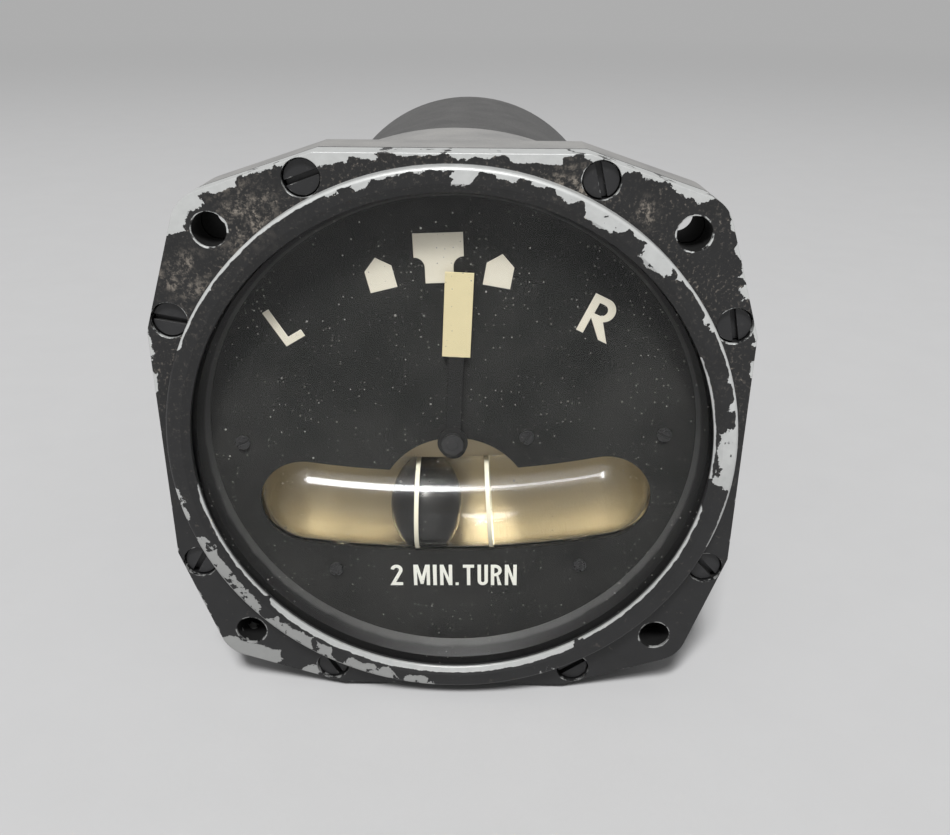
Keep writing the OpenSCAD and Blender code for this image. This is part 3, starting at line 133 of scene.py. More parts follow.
class Graph:
    """Node graph of a material or of the world, built from small named steps."""

    def __init__(self, name: str, kind: Kind = Kind.MATERIAL) -> None:
        """Start an empty graph.

        Args:
            name: Name of the new material or world.
            kind: Which of the two it is.
        """
        self.kind = kind
        self.owner = (bpy.data.worlds if kind is Kind.WORLD else bpy.data.materials).new(name)
        self.owner.use_nodes = True
        self.tree = self.owner.node_tree
        self.tree.nodes.clear()

    def put(self, socket: Socket, value: Value) -> None:
        """Link a socket to another one, or set its own value.

        Args:
            socket: Input to feed.
            value: A socket, a number or a colour.
        """
        if isinstance(value, bpy.types.NodeSocket):
            self.tree.links.new(value, socket)
        elif isinstance(value, (int, float)):
            socket.default_value = value
        else:
            values = tuple(value)
            length = len(socket.default_value)
            socket.default_value = values + (1.0,) * (length - len(values))

    def node(self, kind: str, inputs: Optional[Inputs] = None, **settings: object) -> bpy.types.Node:
        """Add a node.

        Args:
            kind: Node type without its ShaderNode prefix.
            inputs: Values or sockets by input name or number.
            **settings: Node properties.

        Returns:
            The new node.
        """
        node = self.tree.nodes.new("ShaderNode" + kind)
        for key, value in settings.items():
            setattr(node, key, value)
        for key, value in (inputs or {}).items():
            self.put(node.inputs[key], value)
        return node

    def add(self, kind: str, inputs: Optional[Inputs] = None, **settings: object) -> Socket:
        """Add a node and return its first output."""
        return self.node(kind, inputs, **settings).outputs[0]

    @cached_property
    def place(self) -> Socket:
        """Return the point in the part's own frame."""
        return self.node("TexCoord").outputs["Object"]

    @cached_property
    def axes(self) -> Tuple[Socket, Socket, Socket]:
        """Return the point's x, y and z."""
        return tuple(self.node("SeparateXYZ", {0: self.place}).outputs)

    @cached_property
    def reach(self) -> Socket:
        """Return the point's distance from the instrument's axis."""
        return self.span(self.axes[0], self.axes[2])

    def math(self, operation: str, a: Value, b: Value = 0.0, clamp: bool = False) -> Socket:
        """Combine two numbers, held between 0 and 1 if clamp is set."""
        return self.add("Math", {0: a, 1: b}, operation=operation, use_clamp=clamp)

    def plus(self, a: Value, b: Value, clamp: bool = False) -> Socket:
        """Add two numbers."""
        return self.math("ADD", a, b, clamp)

    def minus(self, a: Value, b: Value) -> Socket:
        """Take the second number from the first."""
        return self.math("SUBTRACT", a, b)

    def times(self, a: Value, b: Value, clamp: bool = False) -> Socket:
        """Multiply two numbers."""
        return self.math("MULTIPLY", a, b, clamp)

    def most(self, *values: Value) -> Value:
        """Return the largest of some numbers."""
        return reduce(lambda a, b: self.math("MAXIMUM", a, b), values)

    def below(self, a: Value, b: Value) -> Socket:
        """Return 1 where the first number is the smaller one, and 0 elsewhere."""
        return self.math("LESS_THAN", a, b)

    def line(self, value: Value, slope: float, start: float) -> Socket:
        """Return a slope times a value, plus a start."""
        return self.plus(self.times(value, slope), start)

    def sway(self, noise: Socket, size: float) -> Socket:
        """Turn noise about 0.5 into noise about 0, as strong as a size."""
        return self.times(self.minus(noise, 0.5), size)

    def span(self, a: Socket, b: Socket) -> Socket:
        """Return the distance that two offsets at right angles make."""
        return self.math("SQRT", self.plus(self.times(a, a), self.times(b, b)))

    def from_holes(self) -> Socket:
        """Return the distance from the axis of the nearest mounting hole."""
        offs = (self.minus(self.math("ABSOLUTE", axis), HOLE_AT * MM) for axis in self.axes[::2])
        return self.span(*offs)

    def rays(self, *kinds: Ray) -> Socket:
        """Return 1 for rays of any of these kinds, and 0 for others."""
        path = self.node("LightPath").outputs
        return self.most(*(path[kind.value] for kind in kinds))

    def noise(self, scale: float, detail: float, rough: float, at: Optional[Socket] = None) -> Socket:
        """Return a soft random field about 0.5, read at a point or else in the part's own frame."""
        inputs = {"Vector": at or self.place, "Scale": scale, "Detail": detail, "Roughness": rough}
        return self.add("TexNoise", inputs)

    def patches(self, scale: float, detail: float, rough: float, low: float, high: float) -> Socket:
        """Return noise that fades from 0 to 1 between two levels."""
        return self.ease(self.noise(scale, detail, rough), low, high)

    def specks(self, spacing: float, size: float, share: float) -> Socket:
        """Scatter small round specks over faces that look forward or back.

        Args:
            spacing: Distance between specks.
            size: Radius of the largest.
            share: Share of the places that hold one.

        Returns:
            1 in a speck and 0 elsewhere.
        """
        x, _, z = self.axes
        flat = self.add("CombineXYZ", {0: x, 1: z, 2: 0.0})
        spread = {"Vector": flat, "Scale": 1.0 / (spacing * MM)}
        cells = self.node("TexVoronoi", spread, voronoi_dimensions="2D").outputs
        chance, large, _ = self.node("SeparateColor", {0: cells["Color"]}).outputs
        inside = self.below(cells["Distance"], self.times(large, size / spacing))
        return self.times(inside, self.below(chance, share))

    def ease(self, value: Value, low: float, high: float) -> Socket:
        """Rise smoothly from 0 to 1 while a value goes from low to high."""
        inputs = {"Value": value, "From Min": low, "From Max": high}
        return self.add("MapRange", inputs, interpolation_type="SMOOTHSTEP")

    def across(self, length: Value, ends: Point) -> Socket:
        """Rise smoothly from 0 to 1 while a length goes from one end to the other."""
        return self.ease(length, ends[0] * MM, ends[1] * MM)

    def step(self, length: Value, at: float, half: float) -> Socket:
        """Rise from 0 to 1 where a length passes a place, or fall where the half width is below 0."""
        return self.across(length, (at - half, at + half))

    def mix(self, share: Value, a: Value, b: Value) -> Socket:
        """Blend two colours by a share."""
        return self.node("Mix", {0: share, 6: a, 7: b}, data_type="RGBA").outputs[2]

    def blend(self, share: Value, a: Value, b: Value) -> Socket:
        """Blend two numbers by a share."""
        return self.add("Mix", {0: share, 2: a, 3: b}, data_type="FLOAT")

    def mottle(self, noise: Socket, colour: Colour, dark: float, light: float) -> Socket:
        """Vary a colour between a darker and a lighter shade of it."""
        return self.mix(noise, shade(colour, dark), shade(colour, light))

    def curve(self, value: Socket, points: Sequence[Point]) -> Socket:
        """Read a number off a curve of straight lines.

        Args:
            value: Place along the curve, 0 to 1.
            points: Corners of the curve, in order.

        Returns:
            The height there.
        """
        node = self.node("FloatCurve", {"Value": value})
        line = node.mapping.curves[0]
        line.points[0].location = points[0]
        line.points[1].location = points[-1]
        for point in points[1:-1]:
            line.points.new(*point)
        for point in line.points:
            point.handle_type = "VECTOR"
        node.mapping.update()
        return node.outputs[0]

    def rounded(self, radius: float) -> Socket:
        """Return normals with the edges rounded by a radius."""
        return self.add("Bevel", {"Radius": radius * MM}, samples=EDGE_SAMPLES)

    def bump(self, height: Socket, depth: float, edge: float) -> Socket:
        """Raise the surface by a height field of some depth, with its edges rounded."""
        return self.add("Bump", {"Height": height, "Distance": depth * MM, "Normal": self.rounded(edge)})

    def edges(self, radius: float) -> Socket:
        """Find how near a point is to an edge.

        Args:
            radius: Distance at which an edge begins to tell.

        Returns:
            0 far from an edge and 1 on it.
        """
        normals = {0: self.rounded(radius), 1: self.node("NewGeometry").outputs["True Normal"]}
        alike = self.node("VectorMath", normals, operation="DOT_PRODUCT").outputs["Value"]
        return self.ease(alike, *EDGE_COSINES)

    def upward(self) -> Socket:
        """Return how far the surface faces up, 0 to 1."""
        normal = self.node("NewGeometry").outputs["Normal"]
        return self.most(self.node("SeparateXYZ", {0: normal}).outputs[2], 0.0)

    def grained(self, grain: Socket, rough: float) -> Socket:
        """Vary a roughness a little, up and down, by fine grain."""
        return self.plus(self.sway(grain, GRAIN_SWING), rough)

    def solid(self, **inputs: Value) -> Socket:
        """Add the main surface shader, inputs by name with spaces as underscores."""
        named = {key.replace("_", " "): value for key, value in inputs.items()}
        return self.add("BsdfPrincipled", named)

    def layer(self, share: Value, under: Socket, over: Socket) -> Socket:
        """Lay one shader over another by a share."""
        return self.add("MixShader", {0: share, 1: under, 2: over})

    def done(self, surface: Socket) -> bpy.types.ID:
        """Send a shader to the output and return the material or world."""
        self.put(self.node("Output" + self.kind.value).inputs["Surface"], surface)
        return self.owner

    def matt(self, colour: Socket, rough: float, grain: Noise, depth: float, edge: float,
             **inputs: Value) -> bpy.types.Material:
        """Finish a surface that is dull and has fine grain.

        Args:
            colour: Its colour.
            rough: Its mean roughness.
            grain: Noise of the grain.
            depth: Depth of the grain.
            edge: Rounding of the edges.
            **inputs: More inputs of the main surface shader.

        Returns:
            The material.
        """
        fine = self.noise(*grain)
        inputs.update(Roughness=self.grained(fine, rough), Normal=self.bump(fine, depth, edge))
        return self.done(self.solid(Base_Color=colour, **inputs))


class Finish(Protocol):
    """What every finish can do."""

    def make(self) -> bpy.types.Material:
        """Build the material."""


@dataclass(frozen=True)
class Paint:
    """Dull paint with fine grain, settled dust and bare edges, and painted shade inside bores when a bore
    radius is given.
    """

    name: str
    colour: Colour
    rough: float
    dust: float
    wear: float
    edge: float
    shaded_bore_r: float = 0.0
    shades: Point = (0.72, 1.3)
    cloud: Noise = (140.0, 4.0, 0.6)
    grain: Noise = (2600.0, 2.0, 0.5)
    grain_depth: float = 0.02
    specks: Patches = (1500.0, 4.0, 0.7, 0.56, 0.74)
    speck_share: float = 2.0
    dust_up: Point = (0.7, 0.3)
    dust_colour: Colour = (0.36, 0.35, 0.33)
    dust_rough: float = 0.3
    patches: Noise = (620.0, 5.0, 0.65)
    wear_reach: float = 2.0
    bare_at: Point = (0.2, 0.3)
    bare: Colour = (0.52, 0.52, 0.51)
    bare_rough: float = 0.36
    bare_metal: float = 0.7

    def make(self) -> bpy.types.Material:
        """Build the material.

        Returns:
            The material.
        """
        g = Graph(self.name)
        cloud, grain, up = g.noise(*self.cloud), g.noise(*self.grain), g.upward()
        lying = g.times(g.patches(*self.specks), g.line(up, *self.dust_up))
        dust = g.times(lying, self.speck_share * self.dust, clamp=True)
        haze = g.times(g.times(up, cloud), self.dust, clamp=True)
        edges = g.times(g.edges(self.wear_reach * self.edge), self.wear)
        worn = g.ease(g.plus(edges, g.sway(g.noise(*self.patches), 1.0)), *self.bare_at)
        colour = g.mottle(cloud, self.colour, *self.shades)
        colour = g.mix(g.most(dust, haze), colour, self.dust_colour)
        colour = g.mix(worn, colour, self.bare)
        rough = g.blend(worn, g.grained(grain, self.rough), self.bare_rough)
        rough = g.plus(rough, g.times(dust, self.dust_rough), clamp=True)
        # painted shade: bores are painted near black, where shade falls inside them
        if self.shaded_bore_r:
            bore_shade = g.below(g.from_holes(), self.shaded_bore_r * MM)
            colour = g.mix(bore_shade, colour, HOLE_SHADE)
            rough = g.blend(bore_shade, rough, HOLE_ROUGH)
        metal = g.blend(worn, 0.0, self.bare_metal)
        normal = g.bump(g.minus(grain, worn), self.grain_depth, self.edge)
        return g.done(g.solid(Base_Color=colour, Roughness=rough, Metallic=metal, Normal=normal))


@dataclass(frozen=True)
class Metal:
    """Machined or drawn metal with tool marks and a patchy sheen."""

    name: str
    colour: Colour
    rough: float
    stain: Colour = (0.12, 0.10, 0.08)
    stained: float = 0.25
    stains: Patches = (260.0, 5.0, 0.6, 0.48, 0.72)
    stain_rough: float = 0.5
    shades: Point = (0.86, 1.12)
    marks: Noise = (3600.0, 2.0, 0.5)
    marks_rough: float = 0.16
    marks_depth: float = 0.006
    edge: float = 0.12

    def make(self) -> bpy.types.Material:
        """Build the material.

        Returns:
            The material.
        """
        g = Graph(self.name)
        turned = g.add("CombineXYZ", {0: g.reach, 1: g.axes[1], 2: 0.0})
        marks = g.noise(*self.marks, at=turned)
        dull = g.times(g.patches(*self.stains), self.stained)
        colour = g.mix(dull, g.mottle(marks, self.colour, *self.shades), self.stain)
        rough = g.plus(g.sway(marks, self.marks_rough), g.line(dull, self.stain_rough, self.rough))
        normal = g.bump(marks, self.marks_depth, self.edge)
        return g.done(g.solid(Base_Color=colour, Roughness=rough, Metallic=1.0, Normal=normal))


@dataclass(frozen=True)
class Soft:
    """Rubber, board, fibre or enamel: no metal, with mottling and fine grain."""

    name: str
    colour: Colour
    other: Colour
    rough: float
    cloud: Noise = (240.0, 5.0, 0.6)
    grain: Noise = (3000.0, 3.0, 0.55)
    depth: float = 0.02
    edge: float = 0.1

    def make(self) -> bpy.types.Material:
        """Build the material.

        Returns:
            The material.
        """
        g = Graph(self.name)
        colour = g.mix(g.noise(*self.cloud), self.colour, self.other)
        return g.matt(colour, self.rough, self.grain, self.depth, self.edge)


@dataclass(frozen=True)
class ChippedEdge:
    """Bare places along an edge that runs round the bezel; the least depth holds between them."""

    least: float
    chips: Tuple[Chip, ...]
    slope: float = 0.9
    gap: float = 0.0004
    last: float = 0.9995

    def line(self) -> List[Point]:
        """Turn the chips into a curve of depth against angle.

        Returns:
            Corners of the curve, angle as a share of the circle and depth as a share of the deepest.
        """
        rest = self.least / CHIPS_DEEPEST
        points: List[Point] = [(0.0, rest)]
        turned = sorted(((start - CHIPS_FROM) % 360.0, (end - start) % 360.0, depth / CHIPS_DEEPEST)
                        for start, end, depth in self.chips)
        for start, span, depth in turned:
            end, ease = start + span, min(self.slope, span / 3.0)
            for angle, height in ((start, rest), (start + ease, depth), (end - ease, depth), (end, rest)):
                share = max(points[-1][0] + self.gap, angle / 360.0)
                points.append((min(share, self.last), height))
        return points + [(1.0, rest)]

    def bare(self, g: Graph, around: Socket, distance: Socket, ragged: Socket) -> Socket:
        """Return 1 on bare metal, by the turn round the bezel, the distance from the edge and its rags."""
        depth = g.plus(g.times(g.curve(around, self.line()), CHIPS_DEEPEST * MM), ragged)
        return g.step(g.minus(depth, distance), 0.0, CHIP_EDGE)


@dataclass(frozen=True)
class BezelPaint:
    """Dull black bezel paint, chipped to bare metal along the ring and the flange's edges, with painted shade
    in the mounting holes.

    Roughness and metal of the bare places, and the share of painted darker reflection on low bare metal, are
    given for the faces, then for the lip's bevel.
    """

    name: str = "bezel_paint_worn"
    paint: Colour = (0.013, 0.013, 0.0135)
    paint_cloud: Noise = (300.0, 4.0, 0.6)
    paint_shades: Point = (0.5, 1.3)
    paint_rough: Point = (0.25, 0.3)
    grain: Noise = (2400.0, 3.0, 0.55)
    grain_share: float = 0.2
    metal: Colour = (0.60, 0.61, 0.60)
    metal_cloud: Noise = (700.0, 4.0, 0.6)
    metal_shades: Point = (0.82, 1.12)
    metal_rough: Point = (0.42, 0.34)
    metallic: Point = (0.35, 0.5)
    # painted reflection: bare metal is painted darker towards the bottom, for the darker surroundings it
    # reflects there
    low_reflection_shade: Colour = (0.21, 0.21, 0.205)
    low_shade_shares: Point = (0.7, 0.1)
    low_z: Point = (8.0, -22.0)
    chip_depth: float = 0.05
    edge: float = 0.18

    ring_r: float = 40.0
    lip_r: float = 36.73
    slack: float = 0.02
    half_w: float = 41.275
    slant: Tuple[float, float, float] = (0.3125, 0.9499, 44.677)
    hole_shade_r: float = 2.38
    hole_rim: Point = (2.49, 0.35)
    screw_at: Point = (38.1, 19.05)
    seat_rim: Point = (2.565, 0.5)

    shake: Noise = (330.0, 4.0, 0.6)
    shaken: float = 0.022
    rags: Noise = (460.0, 6.0, 0.66)
    ragged: float = 2.4
    thin_share: float = 0.3
    flakes: Noise = (620.0, 5.0, 0.6)
    flakes_over: Point = (0.09, 0.36)
    breaks: Patches = (480.0, 3.0, 0.6, 0.44, 0.54)
    ring_edge: ChippedEdge = ChippedEdge(-0.6, (
        (306, 309, 0.5), (336.5, 339, 1.5), (341, 346, 1.3), (346, 352.5, 0.5), (353.2, 355.8, 1.1),
        (356, 359, 0.45), (359.6, 5.6, 2.2), (6.6, 13.5, 1.1), (13.5, 19, 0.8), (19.5, 24, 1.2),
        (24.5, 34.5, 2.3), (34.5, 39, 0.7), (39, 47, 2.3), (47.5, 50, 1.2), (57, 61.5, 1.3), (70, 74, 0.8),
        (76, 80, 1.2), (82, 98, 2.6), (155, 160, 1.0), (184, 192, 1.7), (193, 206, 1.9), (208, 226, 2.1),
        (228, 249, 2.1), (254, 262, 0.8),
    ))
    flange_edge: ChippedEdge = ChippedEdge(-0.22, (
        (280.5, 286.5, 0.5), (288, 292.5, 0.45), (310.5, 319, 1.9), (319, 325.5, 1.0), (325.5, 331, 0.3),
        (331, 341.8, 1.7), (342, 348, 0.9), (348, 359.6, 0.35), (359.8, 4.2, 0.75), (4.2, 8.5, 0.4),
        (8.5, 20.5, 1.1), (20.5, 26, 0.5), (26, 30.5, 1.3), (31, 36, 0.45), (36, 42.5, 0.95),
        (42.8, 50, 0.25), (50.5, 54, 0.6), (54.2, 57, 0.7), (57, 60, 1.3), (64, 68, 0.6), (70, 74.5, 0.5),
        (207.5, 211.5, 1.9), (216.5, 227.5, 2.6),
    ))
    wall_edge: ChippedEdge = ChippedEdge(-1.0, ((292, 112, 0.4), (196, 246, 0.3)))
    bevel_edge: ChippedEdge = ChippedEdge(-1.0, (
        (64, 96, 0.25), (100, 148, 0.3), (148, 228, 0.7), (228, 262, 0.25),
    ))

    dust: Colour = (0.29, 0.255, 0.215)
    dust_grains: Patches = (1900.0, 5.0, 0.72, 0.53, 0.72)
    dust_drifts: Patches = (150.0, 4.0, 0.6, 0.42, 0.66)
    dust_level: Point = (0.6, 0.16)
    dust_by_ring: Point = (44.0, 40.1)
    by_ring_share: float = 0.35
    on_ring_share: float = 0.25
    dust_z: Point = (-20.0, 22.0)
    dust_to_y: float = 0.1
    dust_spots: Tuple[Place, ...] = (
        (-26.5, 32.7, 7.0), (-35.5, 25.0, 5.5), (15.7, 37.3, 5.0), (24.5, 34.0, 3.0),
    )
    spot_share: float = 0.9
    spot_core: float = 0.1
    powder: Patches = (1000.0, 7.0, 0.75, 0.46, 0.6)
    powder_drifts: Patches = (330.0, 3.0, 0.6, 0.38, 0.6)
    scuffs: Patches = (900.0, 4.0, 0.7, 0.62, 0.7)
    scuffed: float = 0.14

    def flange(self, g: Graph, around: Socket, jag: Socket, little: Socket) -> Socket:
        """Find the bare places of the flange.

        Args:
            g: Graph to add to.
            around: Share of the turn round the bezel.
            jag: Raggedness of deep chips.
            little: Raggedness of thin lines.

        Returns:
            1 on bare metal and 0 on paint.
        """
        wide, tall = (g.math("ABSOLUTE", axis) for axis in g.axes[::2])
        far, near = g.most(wide, tall), g.math("MINIMUM", wide, tall)
        lean = g.plus(g.times(near, self.slant[0]), g.times(far, self.slant[1]))
        inside = g.math("MINIMUM", g.minus(self.half_w * MM, far), g.minus(self.slant[2] * MM, lean))
        bare = self.flange_edge.bare(g, around, inside, jag)
        from_seats = g.span(g.minus(far, self.screw_at[0] * MM), g.minus(near, self.screw_at[1] * MM))
        broken = g.patches(*self.breaks)
        for away, (radius, deep) in ((g.from_holes(), self.hole_rim), (from_seats, self.seat_rim)):
            rim = g.step(g.plus(away, little), radius, -CHIP_EDGE)
            front = g.below(g.plus(g.axes[1], little), deep * MM)
            bare = g.most(bare, g.times(g.times(rim, broken), front))
        return bare

    def dusty(self, g: Graph, on_ring: Socket) -> Socket:
        """Find where dust lies.

        Args:
            g: Graph to add to.
            on_ring: 1 on the raised ring, which holds less of it.

        Returns:
            Share of the surface that it hides.
        """
        by_ring = g.times(g.across(g.reach, self.dust_by_ring), self.by_ring_share)
        lying = g.plus(g.line(g.patches(*self.dust_drifts), *self.dust_level), by_ring)
        dust = g.times(g.times(g.patches(*self.dust_grains), lying), g.across(g.axes[2], self.dust_z))
        powder = g.times(g.patches(*self.powder), g.patches(*self.powder_drifts))
        for x, z, radius in self.dust_spots:
            ends = {0: g.place, 1: (x * MM, 0.0, z * MM)}
            off = g.node("VectorMath", ends, operation="DISTANCE").outputs["Value"]
            spot = g.times(g.across(off, (radius, self.spot_core * radius)), powder)
            dust = g.most(dust, g.times(spot, self.spot_share))
        dust = g.times(dust, g.blend(on_ring, 1.0, self.on_ring_share), clamp=True)
        return g.times(dust, g.below(g.axes[1], self.dust_to_y * MM))

    def make(self) -> bpy.types.Material:
        """Build the material.

        Returns:
            The material.
        """
        g = Graph(self.name)
        x, y, z = g.axes
        turn = g.math("DIVIDE", g.math("ARCTAN2", x, z), 2.0 * math.pi)
        turn = g.plus(turn, g.sway(g.noise(*self.shake), self.shaken))
        around = g.math("FRACT", g.plus(turn, 2.0 - CHIPS_FROM / 360.0))
        jag = g.sway(g.noise(*self.rags), self.ragged * MM)
        little = g.times(jag, self.thin_share)
        low = g.across(z, self.low_z)

        from_rim = g.minus(self.ring_r * MM, g.reach)
        face = self.ring_edge.bare(g, around, from_rim, jag)
        flaked = g.math("GREATER_THAN", g.noise(*self.flakes), g.line(low, *self.flakes_over))
        wall = self.wall_edge.bare(g, around, from_rim, little)
        bevel = self.bevel_edge.bare(g, around, g.minus(g.reach, self.lip_r * MM), little)
        ring = g.most(g.times(face, flaked), wall, bevel)
        on_ring = g.times(g.below(g.reach, (self.ring_r + self.slack) * MM), g.below(y, -self.slack * MM))
        bare = g.blend(on_ring, self.flange(g, around, jag, little), ring)
        # painted shade: the walls of the mounting holes are painted near black, where shade falls inside them
        hole_shade = g.below(g.from_holes(), self.hole_shade_r * MM)

        tone = g.mottle(g.noise(*self.paint_cloud), self.paint, *self.paint_shades)
        tone = g.mix(g.times(g.patches(*self.scuffs), self.scuffed), tone, self.dust)
        tone = g.mix(self.dusty(g, on_ring), tone, self.dust)
        tone = g.mix(hole_shade, tone, HOLE_SHADE)
        shine = g.mottle(g.noise(*self.metal_cloud), self.metal, *self.metal_shades)
        # painted reflection: darken the bare metal towards the bottom, much less on the lip's bevel
        shine = g.mix(g.times(low, g.blend(bevel, *self.low_shade_shares)), shine, self.low_reflection_shade)
        colour = g.mix(bare, tone, shine)

        grain = g.noise(*self.grain)
        painted = g.blend(hole_shade, g.line(grain, *self.paint_rough), HOLE_ROUGH)
        rough = g.blend(bare, painted, g.blend(bevel, *self.metal_rough))
        metal = g.blend(bare, 0.0, g.blend(bevel, *self.metallic))
        height = g.plus(g.times(grain, self.grain_share), g.minus(1.0, bare))
        normal = g.bump(height, self.chip_depth, self.edge)
        return g.done(g.solid(Base_Color=colour, Roughness=rough, Metallic=metal, Normal=normal))


@dataclass(frozen=True)
class ClearGlass:
    """Clear glass that lets the lamps through, with specks of dust on it."""

    name: str
    ior: float
    tint: Colour = WHITE
    rough: float = 0.0
    film: Noise = (90.0, 4.0, 0.6)
    film_rough: float = 0.012
    bloom: float = 0.0
    bloom_rough: float = 0.36
    gathers: bool = False
    dusty: float = 0.0
    dust: Colour = (0.42, 0.415, 0.385)
    dust_drifts: Patches = (120.0, 3.0, 0.6, 0.36, 0.62)
    small_specks: Specks = (1.1, 0.1, 0.5)
    large_specks: Specks = (4.1, 0.17, 0.35)

    def make(self) -> bpy.types.Material:
        """Build the material.

        Returns:
            The material.
        """
        g = Graph(self.name)
        rough = g.line(g.noise(*self.film), self.film_rough, self.rough)
        bent = g.add("BsdfRefraction", {"Color": self.tint, "Roughness": rough, "IOR": self.ior})
        shine = g.add("BsdfGlossy", {"Color": WHITE, "Roughness": rough})
        facing = g.add("Fresnel", {"IOR": self.ior})
        glass = g.layer(facing, bent, shine)
        if self.bloom:
            soft = g.add("BsdfGlossy", {"Color": WHITE, "Roughness": self.bloom_rough})
            glass = g.layer(g.times(facing, self.bloom), glass, soft)
        if self.dusty:
            dots = g.most(g.specks(*self.small_specks), g.specks(*self.large_specks))
            outside = g.times(dots, g.below(g.axes[1], 0.0))
            dust = g.times(outside, g.times(g.patches(*self.dust_drifts), self.dusty), clamp=True)
            glass = g.layer(dust, glass, g.add("BsdfDiffuse", {"Color": self.dust}))
        clear = g.add("BsdfTransparent", {"Color": self.tint})
        straight = (Ray.SHADOW,) if self.gathers else (Ray.SHADOW, Ray.DIFFUSE)
        return g.done(g.layer(g.rays(*straight), glass, clear))


@dataclass(frozen=True)
class SpacerPaint:
    """Ring between glass and dial: black in front, dull grey next to the dial."""

    name: str = "spacer_two_tone"
    black: Colour = (0.008, 0.008, 0.008)
    grey: Colour = (0.062, 0.062, 0.060)
    shades: Point = (0.8, 1.25)
    cloud: Noise = (300.0, 4.0, 0.6)
    turn_y: float = 2.9
    turn_half: float = 0.35
    turn_sway: float = 0.8
    rough: float = 0.5
    grain: Noise = (2800.0, 3.0, 0.6)
    depth: float = 0.01
    edge: float = 0.1

    def make(self) -> bpy.types.Material:
        """Build the material.

        Returns:
            The material.
        """
        g = Graph(self.name)
        cloud = g.noise(*self.cloud)
        back = g.plus(g.axes[1], g.sway(cloud, self.turn_sway * MM))
        grey = g.mottle(cloud, self.grey, *self.shades)
        colour = g.mix(g.step(back, self.turn_y, self.turn_half), self.black, grey)
        return g.matt(colour, self.rough, self.grain, self.depth, self.edge)


@dataclass(frozen=True)
class CradlePaint:
    """Aged cream behind the tube, painted lighter on the apron that stands above it: painted light where the
    dial's shade falls.
    """

    name: str = "cradle_cream"
    aged: Colour = (0.41, 0.326, 0.184)
    apron_lit: Colour = (0.60, 0.50, 0.32)
    apron_z: Point = (-6.2, -4.6)
    cloud: Noise = (120.0, 5.0, 0.6)
    stained: float = 0.5
    stain_shade: float = 0.88
    rough: float = 0.6
    grain: Noise = (3000.0, 3.0, 0.55)
    depth: float = 0.02
    edge: float = 0.1

    def make(self) -> bpy.types.Material:
        """Build the material.

        Returns:
            The material.
        """
        g = Graph(self.name)
        # painted light: the apron is painted lighter than the rest, against the shade the dial casts on it
        colour = g.mix(g.across(g.axes[2], self.apron_z), self.aged, self.apron_lit)
        stain = g.times(g.noise(*self.cloud), self.stained)
        colour = g.mix(stain, colour, shade(self.aged, self.stain_shade))
        return g.matt(colour, self.rough, self.grain, self.depth, self.edge)


@dataclass(frozen=True)
class PointerPaint:
    """Cream tip on a black stem, told apart by distance from the pivot."""

    name: str = "pointer_two_tone"
    cream: Colour = (0.68, 0.595, 0.36)
    shades: Point = (0.94, 1.05)
    cloud: Noise = (420.0, 4.0, 0.6)
    black: Colour = (0.0145, 0.0145, 0.0138)
    tip_from: float = 13.3
    tip_half: float = 0.04
    rough: float = 0.6
    gloss: float = 0.2
    grain: Noise = (3200.0, 2.0, 0.5)
    depth: float = 0.01
    edge: float = 0.08

    def make(self) -> bpy.types.Material:
        """Build the material.

        Returns:
            The material.
        """
        g = Graph(self.name)
        aged = g.mottle(g.noise(*self.cloud), self.cream, *self.shades)
        colour = g.mix(g.step(g.reach, self.tip_from, self.tip_half), self.black, aged)
        return g.matt(colour, self.rough, self.grain, self.depth, self.edge, Specular_IOR_Level=self.gloss)


@dataclass(frozen=True)
class DialBlack:
    """Matt black dial with fine specks and faint smears."""

    name: str = "dial_matt_black"
    black: Colour = (0.017, 0.017, 0.0158)
    shades: Point = (0.45, 1.6)
    smears: Noise = (70.0, 4.0, 0.6)
    tooth: Noise = (3400.0, 3.0, 0.7)
    tone_at: Point = (0.2, 0.8)
    dust: Colour = (0.30, 0.29, 0.26)
    dusty: float = 0.4
    dust_drifts: Patches = (130.0, 3.0, 0.6, 0.34, 0.66)
    specks: Specks = (0.9, 0.15, 0.45)
    rough: float = 0.6
    gloss: float = 0.2
    grain: Noise = (3600.0, 3.0, 0.6)
    depth: float = 0.0012
    edge: float = 0.06

    def make(self) -> bpy.types.Material:
        """Build the material.

        Returns:
            The material.
        """
        g = Graph(self.name)
        smear = g.plus(g.noise(*self.smears), g.sway(g.noise(*self.tooth), 1.0))
        tone = g.mottle(g.ease(smear, *self.tone_at), self.black, *self.shades)
        drifts = g.times(g.patches(*self.dust_drifts), self.dusty)
        colour = g.mix(g.times(g.specks(*self.specks), drifts, clamp=True), tone, self.dust)
        return g.matt(colour, self.rough, self.grain, self.depth, self.edge, Specular_IOR_Level=self.gloss)


def new_object(name: str, data: bpy.types.ID) -> bpy.types.Object:
    """Make an object and link it to the scene.

    Args:
        name: Name of the object.
        data: Its mesh, curve, lamp or camera.

    Returns:
        The new object.
    """
    made = bpy.data.objects.new(name, data)
    bpy.context.scene.collection.objects.link(made)
    return made


@dataclass
class PhotoCamera:
    """Camera at the photograph's place and angle."""

    place: Place = (4.237, -119.783, 57.747)
    turn: Place = (66.33786, -0.39075, 0.64275)
    focal_px: float = 931.241
    width_px: float = 950.0
    sensor: float = 36.0
    nearest: float = 5.0

    def build(self) -> None:
        """Make the camera and use it for the scene."""
        lens = bpy.data.cameras.new("camera")
        lens.sensor_fit = "HORIZONTAL"
        lens.sensor_width = self.sensor
        lens.lens = self.focal_px / self.width_px * self.sensor
        lens.clip_start = self.nearest * MM
        camera = new_object("camera", lens)
        camera.location = Vector(self.place) * MM
        camera.rotation_euler = [math.radians(angle) for angle in self.turn]
        bpy.context.scene.camera = camera


